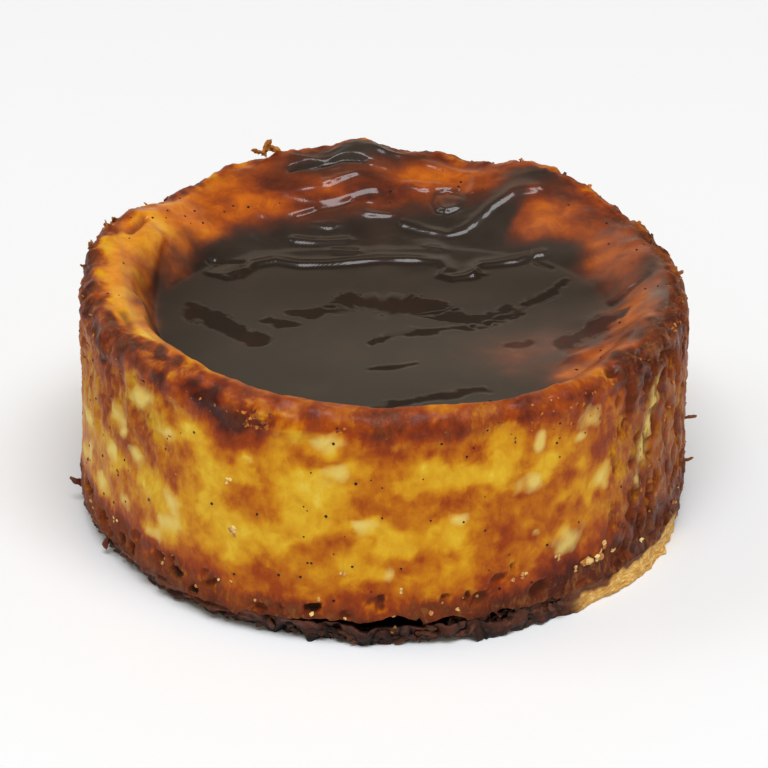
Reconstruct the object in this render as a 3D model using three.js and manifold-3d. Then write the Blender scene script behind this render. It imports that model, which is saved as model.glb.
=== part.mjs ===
// Custard flan: a small round baked custard with a sunken, browned top, on a thin ragged pastry base.
// Millimetres, +Z up. The origin is on the table, under the middle of the flan.
// Bearings are degrees anticlockwise from +X, seen from above, so the front, at -Y, has bearing -90.
import * as THREE from "three";
import { mergeVertices } from "three/addons/utils/BufferGeometryUtils.js";
import Module from "manifold-3d";

const wasm = await Module();
wasm.setup();

// Driving dimensions
const FLAN_RADIUS = 45; // custard side at half height
const RIM_HEIGHT = 36.3; // mean height of the rim above the table
const BASE_THICKNESS = 3.6; // pastry under the custard
const BASE_RADIUS = 44.7; // mean radius of the pastry's edge
const DISH_DEPTH = 5.8; // rim's mean height above the edge of the dish floor
const DISH_SAG = 1.3; // the floor's middle below its edge
const FLOOR_RADIUS = 33; // dish floor at the left and the right
const BACK_SLOPE_REACH = 14; // how much further the back slope runs in over the floor
const FRONT_WALL_SET = 3.6; // how much nearer the rim the front wall meets the floor
const RIM_ROUND = 2.6; // rounding of the outer top edge
const FOOT_ROUND = 1.5; // rounding of the custard's lower edge
const SIDE_FLARE = 1.2; // the foot is this much wider in radius than the rim

// Fineness of the solids
const CUSTARD_SEGMENTS = 120;
const BASE_SEGMENTS = 96;

// The rim leans up towards the left and has humps and dips of its own.
const RIM_LEAN = 1.5;
const RIM_HIGH_BEARING = 190;
const RIM_BUMPS = [
  { bearing: 31, width: 4, lift: -0.6 },
  { bearing: 53, width: 10, lift: 2.2 },
  { bearing: 72, width: 5, lift: -0.5 },
  { bearing: 95, width: 7, lift: 1.9 },
  { bearing: 110, width: 5, lift: 0.8 },
  { bearing: 137, width: 11, lift: -2.3 },
  { bearing: 157, width: 8, lift: 0.4 },
  { bearing: 228, width: 10, lift: 1.0 },
];

// On the left the rim is a broad shelf with a steep wall inside it.
const SHELF = { bearing: 187, width: 36, depth: 4.6 };

// Wrinkles of the skin lie across the back slope.
const WRINKLE = { height: 0.55, spacing: 6.2, bearing: 88, spread: 62 };

// Blisters and folds of the skin, each a low mound: how far round, how far out, and its size.
const SKIN_MOUNDS = [
  { bearing: 69, radius: 29.6, along: 3.0, across: 3.0, height: 0.9 },
  { bearing: 96, radius: 33, along: 8, across: 2.2, height: 0.8 },
  { bearing: 92, radius: 40, along: 6, across: 2.4, height: 0.9 },
  { bearing: 44, radius: 34, along: 5, across: 3.6, height: 1.1 },
  { bearing: -8, radius: 36, along: 2.4, across: 5, height: 0.8 },
  { bearing: 12, radius: 37, along: 3.0, across: 4.5, height: 0.7 },
  { bearing: -31, radius: 38.5, along: 9, across: 1.8, height: 0.8 },
  { bearing: 165, radius: 34, along: 4, across: 3, height: -1.0 },
];

// Where the custard has drawn away from the base and leaves a dark gap.
const FOOT_GAPS = [
  { bearing: -99, width: 5, lift: 1.5 },
  { bearing: -88, width: 5, lift: 2.2 },
  { bearing: -75, width: 6, lift: 1.7 },
];
const FOOT_GAP_REACH = 7; // how far in from the side a gap runs

// On the right the base is whole and stands out a little further.
const BASE_STEP = { bearing: -36, width: 34, lift: 1.4 };

// Shreds of dry custard that stand off the rim.
const RIM_SHREDS = [
  { bearing: 116, length: 4.4, width: 1.8, rise: 70 },
  { bearing: 155, length: 2.6, width: 2.6, rise: 30 },
  { bearing: 41, length: 2.6, width: 2.2, rise: 35 },
  { bearing: 24, length: 2.4, width: 2.0, rise: 25 },
];

// Flakes that break from the edge of the base, from the left round the front.
const FLAKE_COUNT = 26;
const FLAKE_FIRST = 172;
const FLAKE_SWEEP = 130;
const FLAKE = { length: 3.2, width: 4.2, thickness: 1.5 };

const DEGREE = Math.PI / 180;
const cosine = (degrees) => Math.cos(degrees * DEGREE);
const sine = (degrees) => Math.sin(degrees * DEGREE);
const bell = (offset, width) => Math.exp(-((offset / width) ** 2));
const smooth = (t) => t * t * (3 - 2 * t);
const share = (value, from, to) =>
  Math.min(1, Math.max(0, (value - from) / (to - from)));

// The shorter way round from one bearing to another, in degrees.
function turn(from, to) {
  return ((((to - from + 180) % 360) + 360) % 360) - 180;
}

// The sum of a list of bumps at a bearing.
function bumps(list, bearing) {
  return list.reduce(
    (sum, bump) =>
      sum + bump.lift * bell(turn(bump.bearing, bearing), bump.width),
    0,
  );
}

// Height of the rim's crest at a bearing.
function rimHeight(bearing) {
  const lean = RIM_LEAN * cosine(bearing - RIM_HIGH_BEARING);
  return RIM_HEIGHT + lean + bumps(RIM_BUMPS, bearing);
}

// Radius at which the rim starts to fall into the dish.
function rimShoulder(bearing) {
  const shelf = SHELF.depth * bell(turn(SHELF.bearing, bearing), SHELF.width);
  return FLAN_RADIUS - RIM_ROUND - shelf;
}

// Radius at which the slope meets the dish floor.
function floorEdge(bearing) {
  const back = Math.max(0, sine(bearing)) ** 1.5;
  const front = Math.max(0, -sine(bearing)) ** 1.5;
  return FLOOR_RADIUS - BACK_SLOPE_REACH * back + FRONT_WALL_SET * front;
}

// Wrinkles run round the back slope and wander in and out.
function wrinkles(bearing, radius, slope) {
  const wander = 1.3 * sine(3 * bearing + 40) + 0.7 * sine(7 * bearing + 110);
  const strength =
    WRINKLE.height * bell(turn(WRINKLE.bearing, bearing), WRINKLE.spread);
  const wave = Math.sin((2 * Math.PI * radius) / WRINKLE.spacing + wander);
  return strength * 4 * slope * (1 - slope) * wave;
}

// Blisters and folds, as mounds of the skin.
function mounds(bearing, radius) {
  return SKIN_MOUNDS.reduce((sum, mound) => {
    const along = turn(mound.bearing, bearing) * DEGREE * mound.radius;
    const across = radius - mound.radius;
    return (
      sum +
      mound.height * bell(along, mound.along) * bell(across, mound.across)
    );
  }, 0);
}

// Height of the sunken top at a bearing and radius.
function topHeight(bearing, radius) {
  const edge = floorEdge(bearing);
  const slope = share(radius, edge, rimShoulder(bearing));
  const sag = DISH_SAG * (1 - Math.min(1, radius / edge) ** 2);
  const floor = RIM_HEIGHT - DISH_DEPTH - sag;
  const skin = wrinkles(bearing, radius, slope) + mounds(bearing, radius);
  return floor + (rimHeight(bearing) - floor) * smooth(slope) + skin;
}

// Radius of the custard's side at a bearing and height: a slow flare and low lumps.
function sideRadius(bearing, height) {
  const flare = SIDE_FLARE * (0.5 - height / RIM_HEIGHT);
  const lumps =
    0.3 * sine(3 * bearing + 3 * height) + 0.2 * sine(8 * bearing - 5 * height);
  return FLAN_RADIUS + flare + lumps;
}

// Points of a quarter circle of a profile, from one angle to another.
function arc(centreRadius, centreHeight, size, fromDegrees, toDegrees, steps) {
  return Array.from({ length: steps + 1 }, (_, i) => {
    const degrees = fromDegrees + ((toDegrees - fromDegrees) * i) / steps;
    return new THREE.Vector2(
      centreRadius + size * cosine(degrees),
      centreHeight + size * sine(degrees),
    );
  });
}

// Points of a straight stretch of a profile, both ends included.
function line(fromRadius, fromHeight, toRadius, toHeight, steps) {
  return Array.from({ length: steps + 1 }, (_, i) =>
    new THREE.Vector2(fromRadius, fromHeight).lerp(
      new THREE.Vector2(toRadius, toHeight),
      i / steps,
    ),
  );
}

// A profile turned about Z, with each vertex moved by a rule of its bearing, radius, height and row.
function turned(profile, segments, rule) {
  const geometry = new THREE.LatheGeometry(profile, segments);
  geometry.rotateX(Math.PI / 2);
  const position = geometry.getAttribute("position");
  for (let i = 0; i < position.count; i++) {
    const row = i % profile.length;
    const { x: radius, y: height } = profile[row];
    const bearing =
      Math.atan2(position.getY(i), position.getX(i)) / DEGREE;
    const moved = rule(radius > 0 ? bearing : 0, radius, height, row);
    position.setXYZ(
      i,
      moved.radius * cosine(bearing),
      moved.radius * sine(bearing),
      moved.height,
    );
  }
  return geometry;
}

// A closed geometry as a solid that can be joined to others.
function solidOf(geometry) {
  const bare = geometry.index ? geometry.toNonIndexed() : geometry.clone();
  bare.deleteAttribute("normal");
  bare.deleteAttribute("uv");
  const merged = mergeVertices(bare, 1e-4);
  return new wasm.Manifold(
    new wasm.Mesh({
      numProp: 3,
      vertProperties: merged.getAttribute("position").array,
      triVerts: new Uint32Array(merged.index.array),
    }),
  );
}

// A solid back as a geometry.
function geometryOf(solid) {
  const mesh = solid.getMesh();
  const geometry = new THREE.BufferGeometry();
  geometry.setAttribute(
    "position",
    new THREE.BufferAttribute(mesh.vertProperties, 3),
  );
  geometry.setIndex(new THREE.BufferAttribute(mesh.triVerts, 1));
  geometry.computeVertexNormals();
  return geometry;
}

// A flat faceted chip, long in the outward direction of its bearing and tipped up by a rise in degrees.
function chip({ bearing, radius, height, length, width, thickness, rise }) {
  const geometry = new THREE.IcosahedronGeometry(0.5, 0);
  geometry.scale(length, width, thickness);
  geometry.rotateY(-rise * DEGREE);
  geometry.rotateZ(bearing * DEGREE);
  geometry.translate(radius * cosine(bearing), radius * sine(bearing), height);
  return solidOf(geometry);
}

// The custard: side, rounded rim and sunken top, with the shreds on its rim.
function custard() {
  const rimRadius = FLAN_RADIUS - RIM_ROUND;
  const footRadius = FLAN_RADIUS - FOOT_ROUND;
  const underside = line(0, BASE_THICKNESS, footRadius - 2, BASE_THICKNESS, 4);
  const foot = arc(footRadius, BASE_THICKNESS + FOOT_ROUND, FOOT_ROUND, -90, 0, 3);
  const rim = arc(rimRadius, RIM_HEIGHT - RIM_ROUND, RIM_ROUND, 0, 90, 4);
  const side = line(
    FLAN_RADIUS,
    BASE_THICKNESS + FOOT_ROUND,
    FLAN_RADIUS,
    RIM_HEIGHT - RIM_ROUND,
    8,
  ).slice(1, -1);
  const slope = line(rimRadius, RIM_HEIGHT, 14, RIM_HEIGHT, 15).slice(1);
  const floor = line(14, RIM_HEIGHT, 0, RIM_HEIGHT, 4).slice(1);
  const outside = [...underside, ...foot, ...side, ...rim];
  const profile = [...outside, ...slope, ...floor];

  const shape = turned(
    profile,
    CUSTARD_SEGMENTS,
    (bearing, radius, height, row) => {
      if (row >= outside.length)
        return { radius, height: topHeight(bearing, radius) };
      const up = share(height, BASE_THICKNESS, RIM_HEIGHT);
      const lift = (rimHeight(bearing) - RIM_HEIGHT) * up;
      const near = share(radius, FLAN_RADIUS - FOOT_GAP_REACH, footRadius);
      const gap = bumps(FOOT_GAPS, bearing) * smooth(near) * (1 - up) ** 4;
      const swell = sideRadius(bearing, height) - FLAN_RADIUS;
      return {
        radius: radius + swell * smooth(near),
        height: height + lift + gap,
      };
    },
  );
  const shreds = RIM_SHREDS.map((shred) =>
    chip({
      ...shred,
      radius: rimRadius + 0.7,
      height: rimHeight(shred.bearing) - 0.4,
      thickness: 1.1,
    }),
  );
  return geometryOf(shreds.reduce((whole, one) => whole.add(one), solidOf(shape)));
}

// How far the base's edge stands out from its mean radius: ragged all round, wider on the right.
function baseEdge(bearing, height) {
  const ragged =
    0.3 * sine(7 * bearing + 60 * height) +
    0.25 * sine(13 * bearing - 35 * height) +
    0.25 * sine(23 * bearing + 80 * height);
  const step = BASE_STEP.lift * bell(turn(BASE_STEP.bearing, bearing), BASE_STEP.width);
  return step + ragged * (1 - 0.6 * (step / BASE_STEP.lift));
}

// The pastry base: a ragged disc, flat underneath, with flakes breaking from its edge.
function pastryBase() {
  const inner = BASE_RADIUS - 4;
  const profile = [
    ...line(0, 0, inner, 0, 2),
    new THREE.Vector2(BASE_RADIUS - 0.8, 0),
    ...line(BASE_RADIUS - 0.3, 0.7, BASE_RADIUS, BASE_THICKNESS - 0.7, 3),
    new THREE.Vector2(BASE_RADIUS - 0.6, BASE_THICKNESS),
    ...line(inner, BASE_THICKNESS, 0, BASE_THICKNESS, 2),
  ];
  const disc = turned(profile, BASE_SEGMENTS, (bearing, radius, height) => ({
    radius: radius + baseEdge(bearing, height) * share(radius, inner, BASE_RADIUS),
    height,
  }));
  const flakes = Array.from({ length: FLAKE_COUNT }, (_, i) => {
    const uneven = sine(137 * i);
    const bearing = FLAKE_FIRST + (FLAKE_SWEEP * (i + 0.3 * uneven)) / FLAKE_COUNT;
    return chip({
      bearing,
      radius: BASE_RADIUS - 0.8 + 0.3 * sine(59 * i),
      height: 1.7 + 0.6 * sine(211 * i),
      length: FLAKE.length * (1 + 0.25 * uneven),
      width: FLAKE.width * (1 + 0.4 * sine(71 * i)),
      thickness: FLAKE.thickness * (1 + 0.2 * sine(43 * i)),
      rise: 12 * sine(97 * i),
    });
  });
  return geometryOf(flakes.reduce((whole, one) => whole.add(one), solidOf(disc)));
}

// Baked custard, browned on the outside.
const bakedCustard = new THREE.MeshStandardMaterial({
  color: 0xb8742a,
  roughness: 0.4,
  metalness: 0,
});

// Well baked pastry.
const brownPastry = new THREE.MeshStandardMaterial({
  color: 0x5a3320,
  roughness: 0.75,
  metalness: 0,
});

function piece(name, geometry, material) {
  const mesh = new THREE.Mesh(geometry, material);
  mesh.name = name;
  return mesh;
}

const flan = new THREE.Group();
flan.add(piece("pastry_base", pastryBase(), brownPastry));
flan.add(piece("custard", custard(), bakedCustard));

export default flan;
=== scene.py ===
# %% [markdown]
# # A baked custard flan
# The flan is a drum of set custard about 90 mm across. Its top has sunk into a dish and baked to a dark,
# glossy skin, its side is mottled gold and brown, and it stands on a thin, ragged layer of pastry.
# The solid model gives the true size and form. Here each piece is made again as a fine surface from a
# formula, in the same place, with the small relief and the finishes that the eye looks for.

import bpy
import numpy as np
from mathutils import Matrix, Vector


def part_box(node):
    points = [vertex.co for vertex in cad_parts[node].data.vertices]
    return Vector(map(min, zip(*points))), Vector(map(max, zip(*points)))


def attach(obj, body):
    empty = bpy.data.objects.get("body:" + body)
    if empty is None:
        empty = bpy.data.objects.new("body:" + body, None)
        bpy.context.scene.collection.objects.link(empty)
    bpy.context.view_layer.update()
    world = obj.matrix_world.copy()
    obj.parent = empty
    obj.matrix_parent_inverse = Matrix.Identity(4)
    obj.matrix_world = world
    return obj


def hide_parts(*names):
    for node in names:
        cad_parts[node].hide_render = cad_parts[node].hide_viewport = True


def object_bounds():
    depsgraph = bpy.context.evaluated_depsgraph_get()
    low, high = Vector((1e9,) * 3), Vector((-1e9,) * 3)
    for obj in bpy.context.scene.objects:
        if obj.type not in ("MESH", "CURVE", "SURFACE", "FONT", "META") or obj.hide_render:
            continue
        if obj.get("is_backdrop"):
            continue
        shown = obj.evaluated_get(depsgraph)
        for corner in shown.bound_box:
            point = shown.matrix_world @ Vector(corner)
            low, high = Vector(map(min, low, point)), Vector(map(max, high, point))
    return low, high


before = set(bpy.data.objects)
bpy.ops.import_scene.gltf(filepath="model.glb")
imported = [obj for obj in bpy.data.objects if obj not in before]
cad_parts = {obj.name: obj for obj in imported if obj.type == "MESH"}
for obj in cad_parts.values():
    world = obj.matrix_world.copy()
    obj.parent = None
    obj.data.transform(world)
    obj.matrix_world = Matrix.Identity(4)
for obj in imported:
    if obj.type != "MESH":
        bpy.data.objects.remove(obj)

MM = 0.001  # shapes are worked out in millimetres, and Blender holds metres
CAD_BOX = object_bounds()
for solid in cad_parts:
    low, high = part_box(solid)
    print(solid, "from", [round(v / MM, 1) for v in low], "to", [round(v / MM, 1) for v in high], "mm")

# %% [markdown]
# ## Camera
# The photo looks down on the flan by 28.6 degrees, through a long lens, at a distance of about 55 cm. A long
# lens keeps the front and back of a small thing close to the same size, so the angle and distance come first
# and the focal length then fills the picture.

# %% Camera
CAMERA_TILT = 28.6  # degrees above the horizon
CAMERA_DISTANCE = 550.0  # mm from the middle of the flan
AIM = np.array([0.24, 0.0, 17.5])  # mm, the point in the middle of the picture
tilt = np.radians(CAMERA_TILT)
camera_data = bpy.data.cameras.new("camera")
camera_data.sensor_width = 36.0
camera_data.lens = 172.7
camera_data.clip_start = 0.01
camera = bpy.data.objects.new("camera", camera_data)
camera.location = (AIM + CAMERA_DISTANCE * np.array([0, -np.cos(tilt), np.sin(tilt)])) * MM
camera.rotation_euler = (np.pi / 2 - tilt, 0, 0)
bpy.context.collection.objects.link(camera)
bpy.context.scene.camera = camera
print("camera at", [round(v, 4) for v in camera.location])

# %% [markdown]
# ## Helpers for materials
# Colours are written as hex codes, as a picture editor shows them, and turned into the linear numbers that
# Blender works with. A material is a tree of nodes, and one function adds any node with its settings and
# links, so that a material below reads as a list of steps.


# %% Colours and nodes
def shade(code):
    """An sRGB hex colour as linear RGBA: a low value is divided by 12.92, others follow a power of 2.4."""
    srgb = np.array([int(code[i:i + 2], 16) for i in (1, 3, 5)]) / 255
    linear = np.where(srgb <= 0.04045, srgb / 12.92, ((srgb + 0.055) / 1.055) ** 2.4)
    return (*linear, 1.0)


def put(tree, kind, inputs=(), stops=(), **settings):
    """Adds one shader node. inputs pairs a socket with a value, an output, or a node, which stands for its
    first output in use. stops are the places and colours of a ramp, and settings are its properties."""
    made = tree.nodes.new("ShaderNode" + kind)
    for key, value in settings.items():
        setattr(made, key, value)
    for key, value in dict(inputs).items():
        if isinstance(value, bpy.types.Node):
            value = next(socket for socket in value.outputs if socket.enabled)
        if isinstance(value, bpy.types.NodeSocket):
            tree.links.new(value, made.inputs[key])
        else:
            made.inputs[key].default_value = value
    for i, (place, colour) in enumerate(stops):
        stop = made.color_ramp.elements[i] if i < 2 else made.color_ramp.elements.new(place)
        stop.position, stop.color = place, shade(colour)
    return made


def new_material(name):
    """An empty material and the tree that its nodes go to."""
    material = bpy.data.materials.new(name)
    material.use_nodes = True
    material.node_tree.nodes.clear()
    return material, material.node_tree


print(f"mid grey in linear numbers is {shade('#808080')[0]:.3f}")

# %% [markdown]
# ## Light and floor
# Food on white is lit softly: a pale sweep stands all round up to about 38 degrees, the air above it is
# darker, and one soft box hangs overhead. The dark skin mirrors this: flat skin shows the sweep as a grey
# veil, skin that is tipped a little shows the dark gap, and only steep folds catch the soft box. A small
# panel at the left gives glints to the folds that face that way.

# %% Sweep of light all round
SWEEP_TOP = 38.0  # degrees above the horizon
SWEEP_LIGHT, GAP_LIGHT = 0.59, 0.2  # strength of the sweep and of the air above it
world = bpy.data.worlds.new("studio")
bpy.context.scene.world = world
world.use_nodes = True
sky = world.node_tree
sky.nodes.clear()
way = put(sky, "TexCoord").outputs["Generated"]
up = put(sky, "SeparateXYZ", {0: way}).outputs["Z"]
edge = np.sin(np.radians(SWEEP_TOP))
level = put(sky, "MapRange", {"Value": up, "From Min": edge - 0.01, "From Max": edge + 0.02,
                              "To Min": SWEEP_LIGHT, "To Max": GAP_LIGHT})
glow = put(sky, "Background", {"Color": shade("#fff3d8"), "Strength": level})
put(sky, "OutputWorld", {"Surface": glow})
bpy.context.scene.view_settings.view_transform = "Standard"
print("sweep up to", SWEEP_TOP, "degrees")


# %% Soft box and side panel
def panel(name, width, depth, power, place):
    """A soft rectangle of light at a place in metres, turned to face the flan."""
    lamp_data = bpy.data.lights.new(name, "AREA")
    lamp_data.shape = "RECTANGLE"
    lamp_data.size, lamp_data.size_y = width, depth
    lamp_data.energy = power
    lamp_data.color = shade("#fcfdff")[:3]
    lamp = bpy.data.objects.new(name, lamp_data)
    lamp.location = place
    lamp.rotation_euler = Vector(place).to_track_quat("Z", "Y").to_euler()
    bpy.context.collection.objects.link(lamp)
    print(name, width, "by", depth, "m,", power, "W")


panel("soft_box", 1.8, 0.85, 38.2, (0.15, -0.72, 1.95))
panel("side_panel", 0.6, 0.6, 3.7, (-1.2, 0.1, 1.42))

# %% Floor of white paper: matt, so that it takes soft shadows and shows no reflection
FLOOR_HALF = 2.5  # m
corners = np.array([[-1, -1, 0], [1, -1, 0], [1, 1, 0], [-1, 1, 0]]) * FLOOR_HALF
floor_mesh = bpy.data.meshes.new("floor")
floor_mesh.from_pydata(corners.tolist(), [], [(0, 1, 2, 3)])
floor = bpy.data.objects.new("floor", floor_mesh)
bpy.context.collection.objects.link(floor)
paper, tree = new_material("white_paper_sweep")
matt = put(tree, "BsdfPrincipled", {"Base Color": shade("#f0f4fa"), "Roughness": 0.7})
put(tree, "OutputMaterial", {"Surface": matt})
floor_mesh.materials.append(paper)
floor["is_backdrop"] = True
print("floor", 2 * FLOOR_HALF, "m across")

# %% [markdown]
# ## Tools for whole-array shapes
# Every surface below is a grid of rings. Row by row it runs along a profile, column by column round the
# flan. The height of a bump or the place of a stain is a formula of the bearing (degrees anticlockwise from
# +X, so the front is -90), the height and the radius, worked out for the whole grid at once.


# %% Curves
def turn(start, bearing):
    """The shorter way round from start to bearing: the difference, wrapped into -180 to 180 degrees."""
    return (bearing - start + 180.0) % 360.0 - 180.0


def bell(offset, width):
    """A bell curve: e to the power of minus the square of offset over width."""
    return np.exp(-((offset / width) ** 2))


def step_up(value, start, end):
    """0 before start, 1 after end, and between them the smooth S of 3t squared less 2t cubed."""
    t = np.clip((value - start) / (end - start), 0.0, 1.0)
    return t * t * (3 - 2 * t)


def circle(bearing, radius):
    """Points on a level circle: the radius times the cosine and the sine of the bearing, and no height."""
    angle = np.radians(bearing)
    return radius * np.stack([np.cos(angle), np.sin(angle), 0 * angle], axis=-1)


def path_offset(x, y, path):
    """Distance from each point to a line through a few points, negative on the right of the way along it:
    each stretch is tried in turn, with the foot of the perpendicular held between its ends."""
    best = np.full(np.shape(x), 1e9)
    for (ax, ay), (bx, by) in zip(path[:-1], path[1:]):
        ux, uy = bx - ax, by - ay
        along = np.clip(((x - ax) * ux + (y - ay) * uy) / (ux ** 2 + uy ** 2), 0, 1)
        gap = np.hypot(x - ax - along * ux, y - ay - along * uy)
        best = np.where(gap < np.abs(best), np.copysign(gap, ux * (y - ay) - uy * (x - ax)), best)
    return best


print("half way up a step is", step_up(0.5, 0, 1))


# %% Lumps
def lumps(points, cell, seed):
    """Smooth random lumps a cell wide: seeded values on a lattice, blended between its eight nearest corners
    by an S curve along each axis."""
    table = np.random.default_rng(seed).uniform(-1, 1, (32, 32, 32))
    place = np.asarray(points) / cell
    corner = np.floor(place).astype(int)
    part = place - corner
    part = part ** 3 * (part * (6 * part - 15) + 10)
    total = np.zeros(place.shape[:-1])
    for dx, dy, dz in np.ndindex(2, 2, 2):
        share = np.abs(1 - np.array([dx, dy, dz]) - part).prod(axis=-1)
        x, y, z = np.moveaxis((corner + [dx, dy, dz]) % 32, -1, 0)
        total += share * table[x, y, z]
    return total


def cloud(points, cell, seed, layers=3):
    """Lumps on lumps: each layer is half as wide and half as high as the one before it."""
    return sum(lumps(points, cell / 2 ** i, seed + i) / 2 ** i for i in range(layers))


spread = np.random.default_rng(1).uniform(0, 90, (9999, 3))
print(f"a lump field swings by {lumps(spread, 5.0, 2).std():.2f}")


# %% Meshes from rings
def outward(rings):
    """Unit normals of a grid of rings: the cross product of the step round and the step along the profile."""
    round_step = np.roll(rings, -1, axis=1) - np.roll(rings, 1, axis=1)
    along_step = np.gradient(rings, axis=0)
    normal = np.cross(round_step, along_step)
    return normal / np.linalg.norm(normal, axis=-1, keepdims=True)


def ring_faces(rows, columns):
    """Quads between neighbouring rings, and a fan of triangles from a first and a last point at each end."""
    here = 1 + np.arange(rows * columns).reshape(rows, columns)
    beside = np.roll(here, -1, axis=1)
    quads = np.stack([here[:-1], beside[:-1], beside[1:], here[1:]], axis=-1).reshape(-1, 4)
    start_fan = np.stack([0 * here[0], beside[0], here[0]], axis=-1)
    end_fan = np.stack([0 * here[0] + rows * columns + 1, here[-1], beside[-1]], axis=-1)
    return quads, np.vstack([start_fan, end_fan])


def new_piece(name, points, quads, fans, fields):
    """An object at the origin from points in mm. fields are numbers for each point, kept as attributes."""
    mesh = bpy.data.meshes.new(name)
    mesh.from_pydata((points * MM).tolist(), [], quads.tolist() + fans.tolist())
    for key, values in fields.items():
        mesh.attributes.new(key, "FLOAT", "POINT").data.foreach_set("value", values.astype(np.float32))
    piece = bpy.data.objects.new(name, mesh)
    bpy.context.collection.objects.link(piece)
    print(name, 2 * len(quads) + len(fans), "triangles")
    return piece


def ring_mesh(name, rings, first, last, fields):
    """A closed, smooth mesh: the rings with a middle point at each end, which takes the mean of its ring."""
    points = np.vstack([[first], rings.reshape(-1, 3), [last]])
    quads, fans = ring_faces(*rings.shape[:2])
    ends = {key: np.r_[values[0].mean(), values.ravel(), values[-1].mean()] for key, values in fields.items()}
    piece = new_piece(name, points, quads, fans, ends)
    piece.data.shade_smooth()
    return piece


print("four rings of six points close with", sum(map(len, ring_faces(4, 6))), "faces")

# %% [markdown]
# ## The custard's form
# The custard is one solid: side, rounded rim and sunken top. The same named sizes as in the solid model
# give the rim's humps, the broad shelf on the left, the long slope at the back and the steep wall in front.

# %% Sizes of the flan, in mm
FLAN_RADIUS = 45.0
RIM_HEIGHT = 36.3
BASE_THICKNESS = 3.6
BASE_RADIUS = 44.7
DISH_DEPTH = 5.8
DISH_SAG = 1.3
FLOOR_RADIUS = 33.0
BACK_SLOPE_REACH = 14.0
FRONT_WALL_SET = 3.6
RIM_ROUND = 2.6
FOOT_ROUND = 0.3
SIDE_FLARE = 1.2
FOOT_GAP_REACH = 7.0
SHELF = (187, 36, 4.6)  # bearing and width in degrees of the shelf on the left, and how far it reaches in
WRINKLE = {"height": 0.06, "spacing": 6.2, "bearing": 88, "spread": 62}
RIM_BUMPS = [  # bearing, width in degrees, lift
    (31, 4, -0.6), (53, 10, 2.2), (72, 5, -0.5), (95, 7, 1.9), (110, 5, 0.8), (137, 11, -2.3),
    (157, 8, 0.4), (228, 10, 1.0),
]
FOOT_GAPS = [  # bearing, width in degrees, lift
    (-101, 5, 1.3), (-88, 5, 2.4), (-79, 4, 1.4), (-69, 4, 0.9),
]
SKIN_MOUNDS = [  # bearing, radius, half length round, half length out, height
    (96, 33, 8, 2.2, 0.25), (92, 40, 6, 2.4, 0.7), (44, 34, 5, 3.6, 0.8), (-8, 36, 2.4, 5, 0.8),
    (12, 37, 3.0, 4.5, 0.7), (-31, 38.5, 9, 1.8, 0.8),
]
rim_radius, foot_radius = FLAN_RADIUS - RIM_ROUND, FLAN_RADIUS - FOOT_ROUND
print("flan", 2 * FLAN_RADIUS, "mm across and about", RIM_HEIGHT, "mm high")


# %% Rim as formulas
def bumps(kinds, bearing):
    """The sum of a list of bell-shaped bumps at a bearing."""
    return sum(lift * bell(turn(at, bearing), width) for at, width, lift in kinds)


def rim_height(bearing):
    """The rim leans up to the left as a cosine of the bearing, with its humps and dips added."""
    return RIM_HEIGHT + 1.5 * np.cos(np.radians(bearing - 190)) + bumps(RIM_BUMPS, bearing)


def rim_shoulder(bearing):
    """Radius where the rim starts to fall into the dish: further in along the shelf on the left,
    with slow lumps that make its edge uneven."""
    wander = lumps(circle(bearing, FLAN_RADIUS), 7.0, 14)
    return rim_radius - SHELF[2] * bell(turn(SHELF[0], bearing), SHELF[1]) - 0.5 + 0.8 * wander


whole_rim = rim_height(np.arange(360.0))
print(f"rim from {whole_rim.min():.1f} to {whole_rim.max():.1f} mm high")


# %% Top and side as formulas
def floor_edge(bearing):
    """Radius where the slope meets the dish floor: drawn in at the back, pushed out at the front."""
    across = np.sin(np.radians(bearing))
    back, front = np.maximum(0, across) ** 1.5, np.maximum(0, -across) ** 1.5
    return FLOOR_RADIUS - BACK_SLOPE_REACH * back + FRONT_WALL_SET * front


def top_height(bearing, radius):
    """Height of the sunken top: a sagging floor, an S-shaped slope up to the rim, wrinkles round the back
    slope as a sine of the radius, mounds, and the left shelf leaning in."""
    edge = floor_edge(bearing)
    slope = np.clip((radius - edge) / (rim_shoulder(bearing) - edge), 0, 1)
    floor = RIM_HEIGHT - DISH_DEPTH - DISH_SAG * (1 - np.minimum(1, radius / edge) ** 2)
    wander = 1.3 * np.sin(np.radians(3 * bearing + 40)) + 0.7 * np.sin(np.radians(7 * bearing + 110))
    strength = WRINKLE["height"] * bell(turn(WRINKLE["bearing"], bearing), WRINKLE["spread"])
    wrinkles = strength * 4 * slope * (1 - slope) * np.sin(2 * np.pi * radius / WRINKLE["spacing"] + wander)
    mounds = sum(height * bell(np.radians(turn(at, bearing)) * out, along) * bell(radius - out, across)
                 for at, out, along, across, height in SKIN_MOUNDS)
    lean = 0.2 * bell(turn(SHELF[0], bearing), SHELF[1]) * np.clip(rim_radius - radius, 0, SHELF[2]) * slope
    return floor + (rim_height(bearing) - floor) * slope ** 2 * (3 - 2 * slope) + wrinkles + mounds - lean


def side_radius(bearing, height):
    """Radius of the side: a slow flare to the foot and two waves of low lumps."""
    lump = 0.3 * np.sin(np.radians(3 * bearing + 3 * height))
    lump += 0.2 * np.sin(np.radians(8 * bearing - 5 * height))
    return FLAN_RADIUS + SIDE_FLARE * (0.5 - height / RIM_HEIGHT) + lump


print(f"the middle of the top lies {float(top_height(0.0, 0.0)):.1f} mm high")

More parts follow.
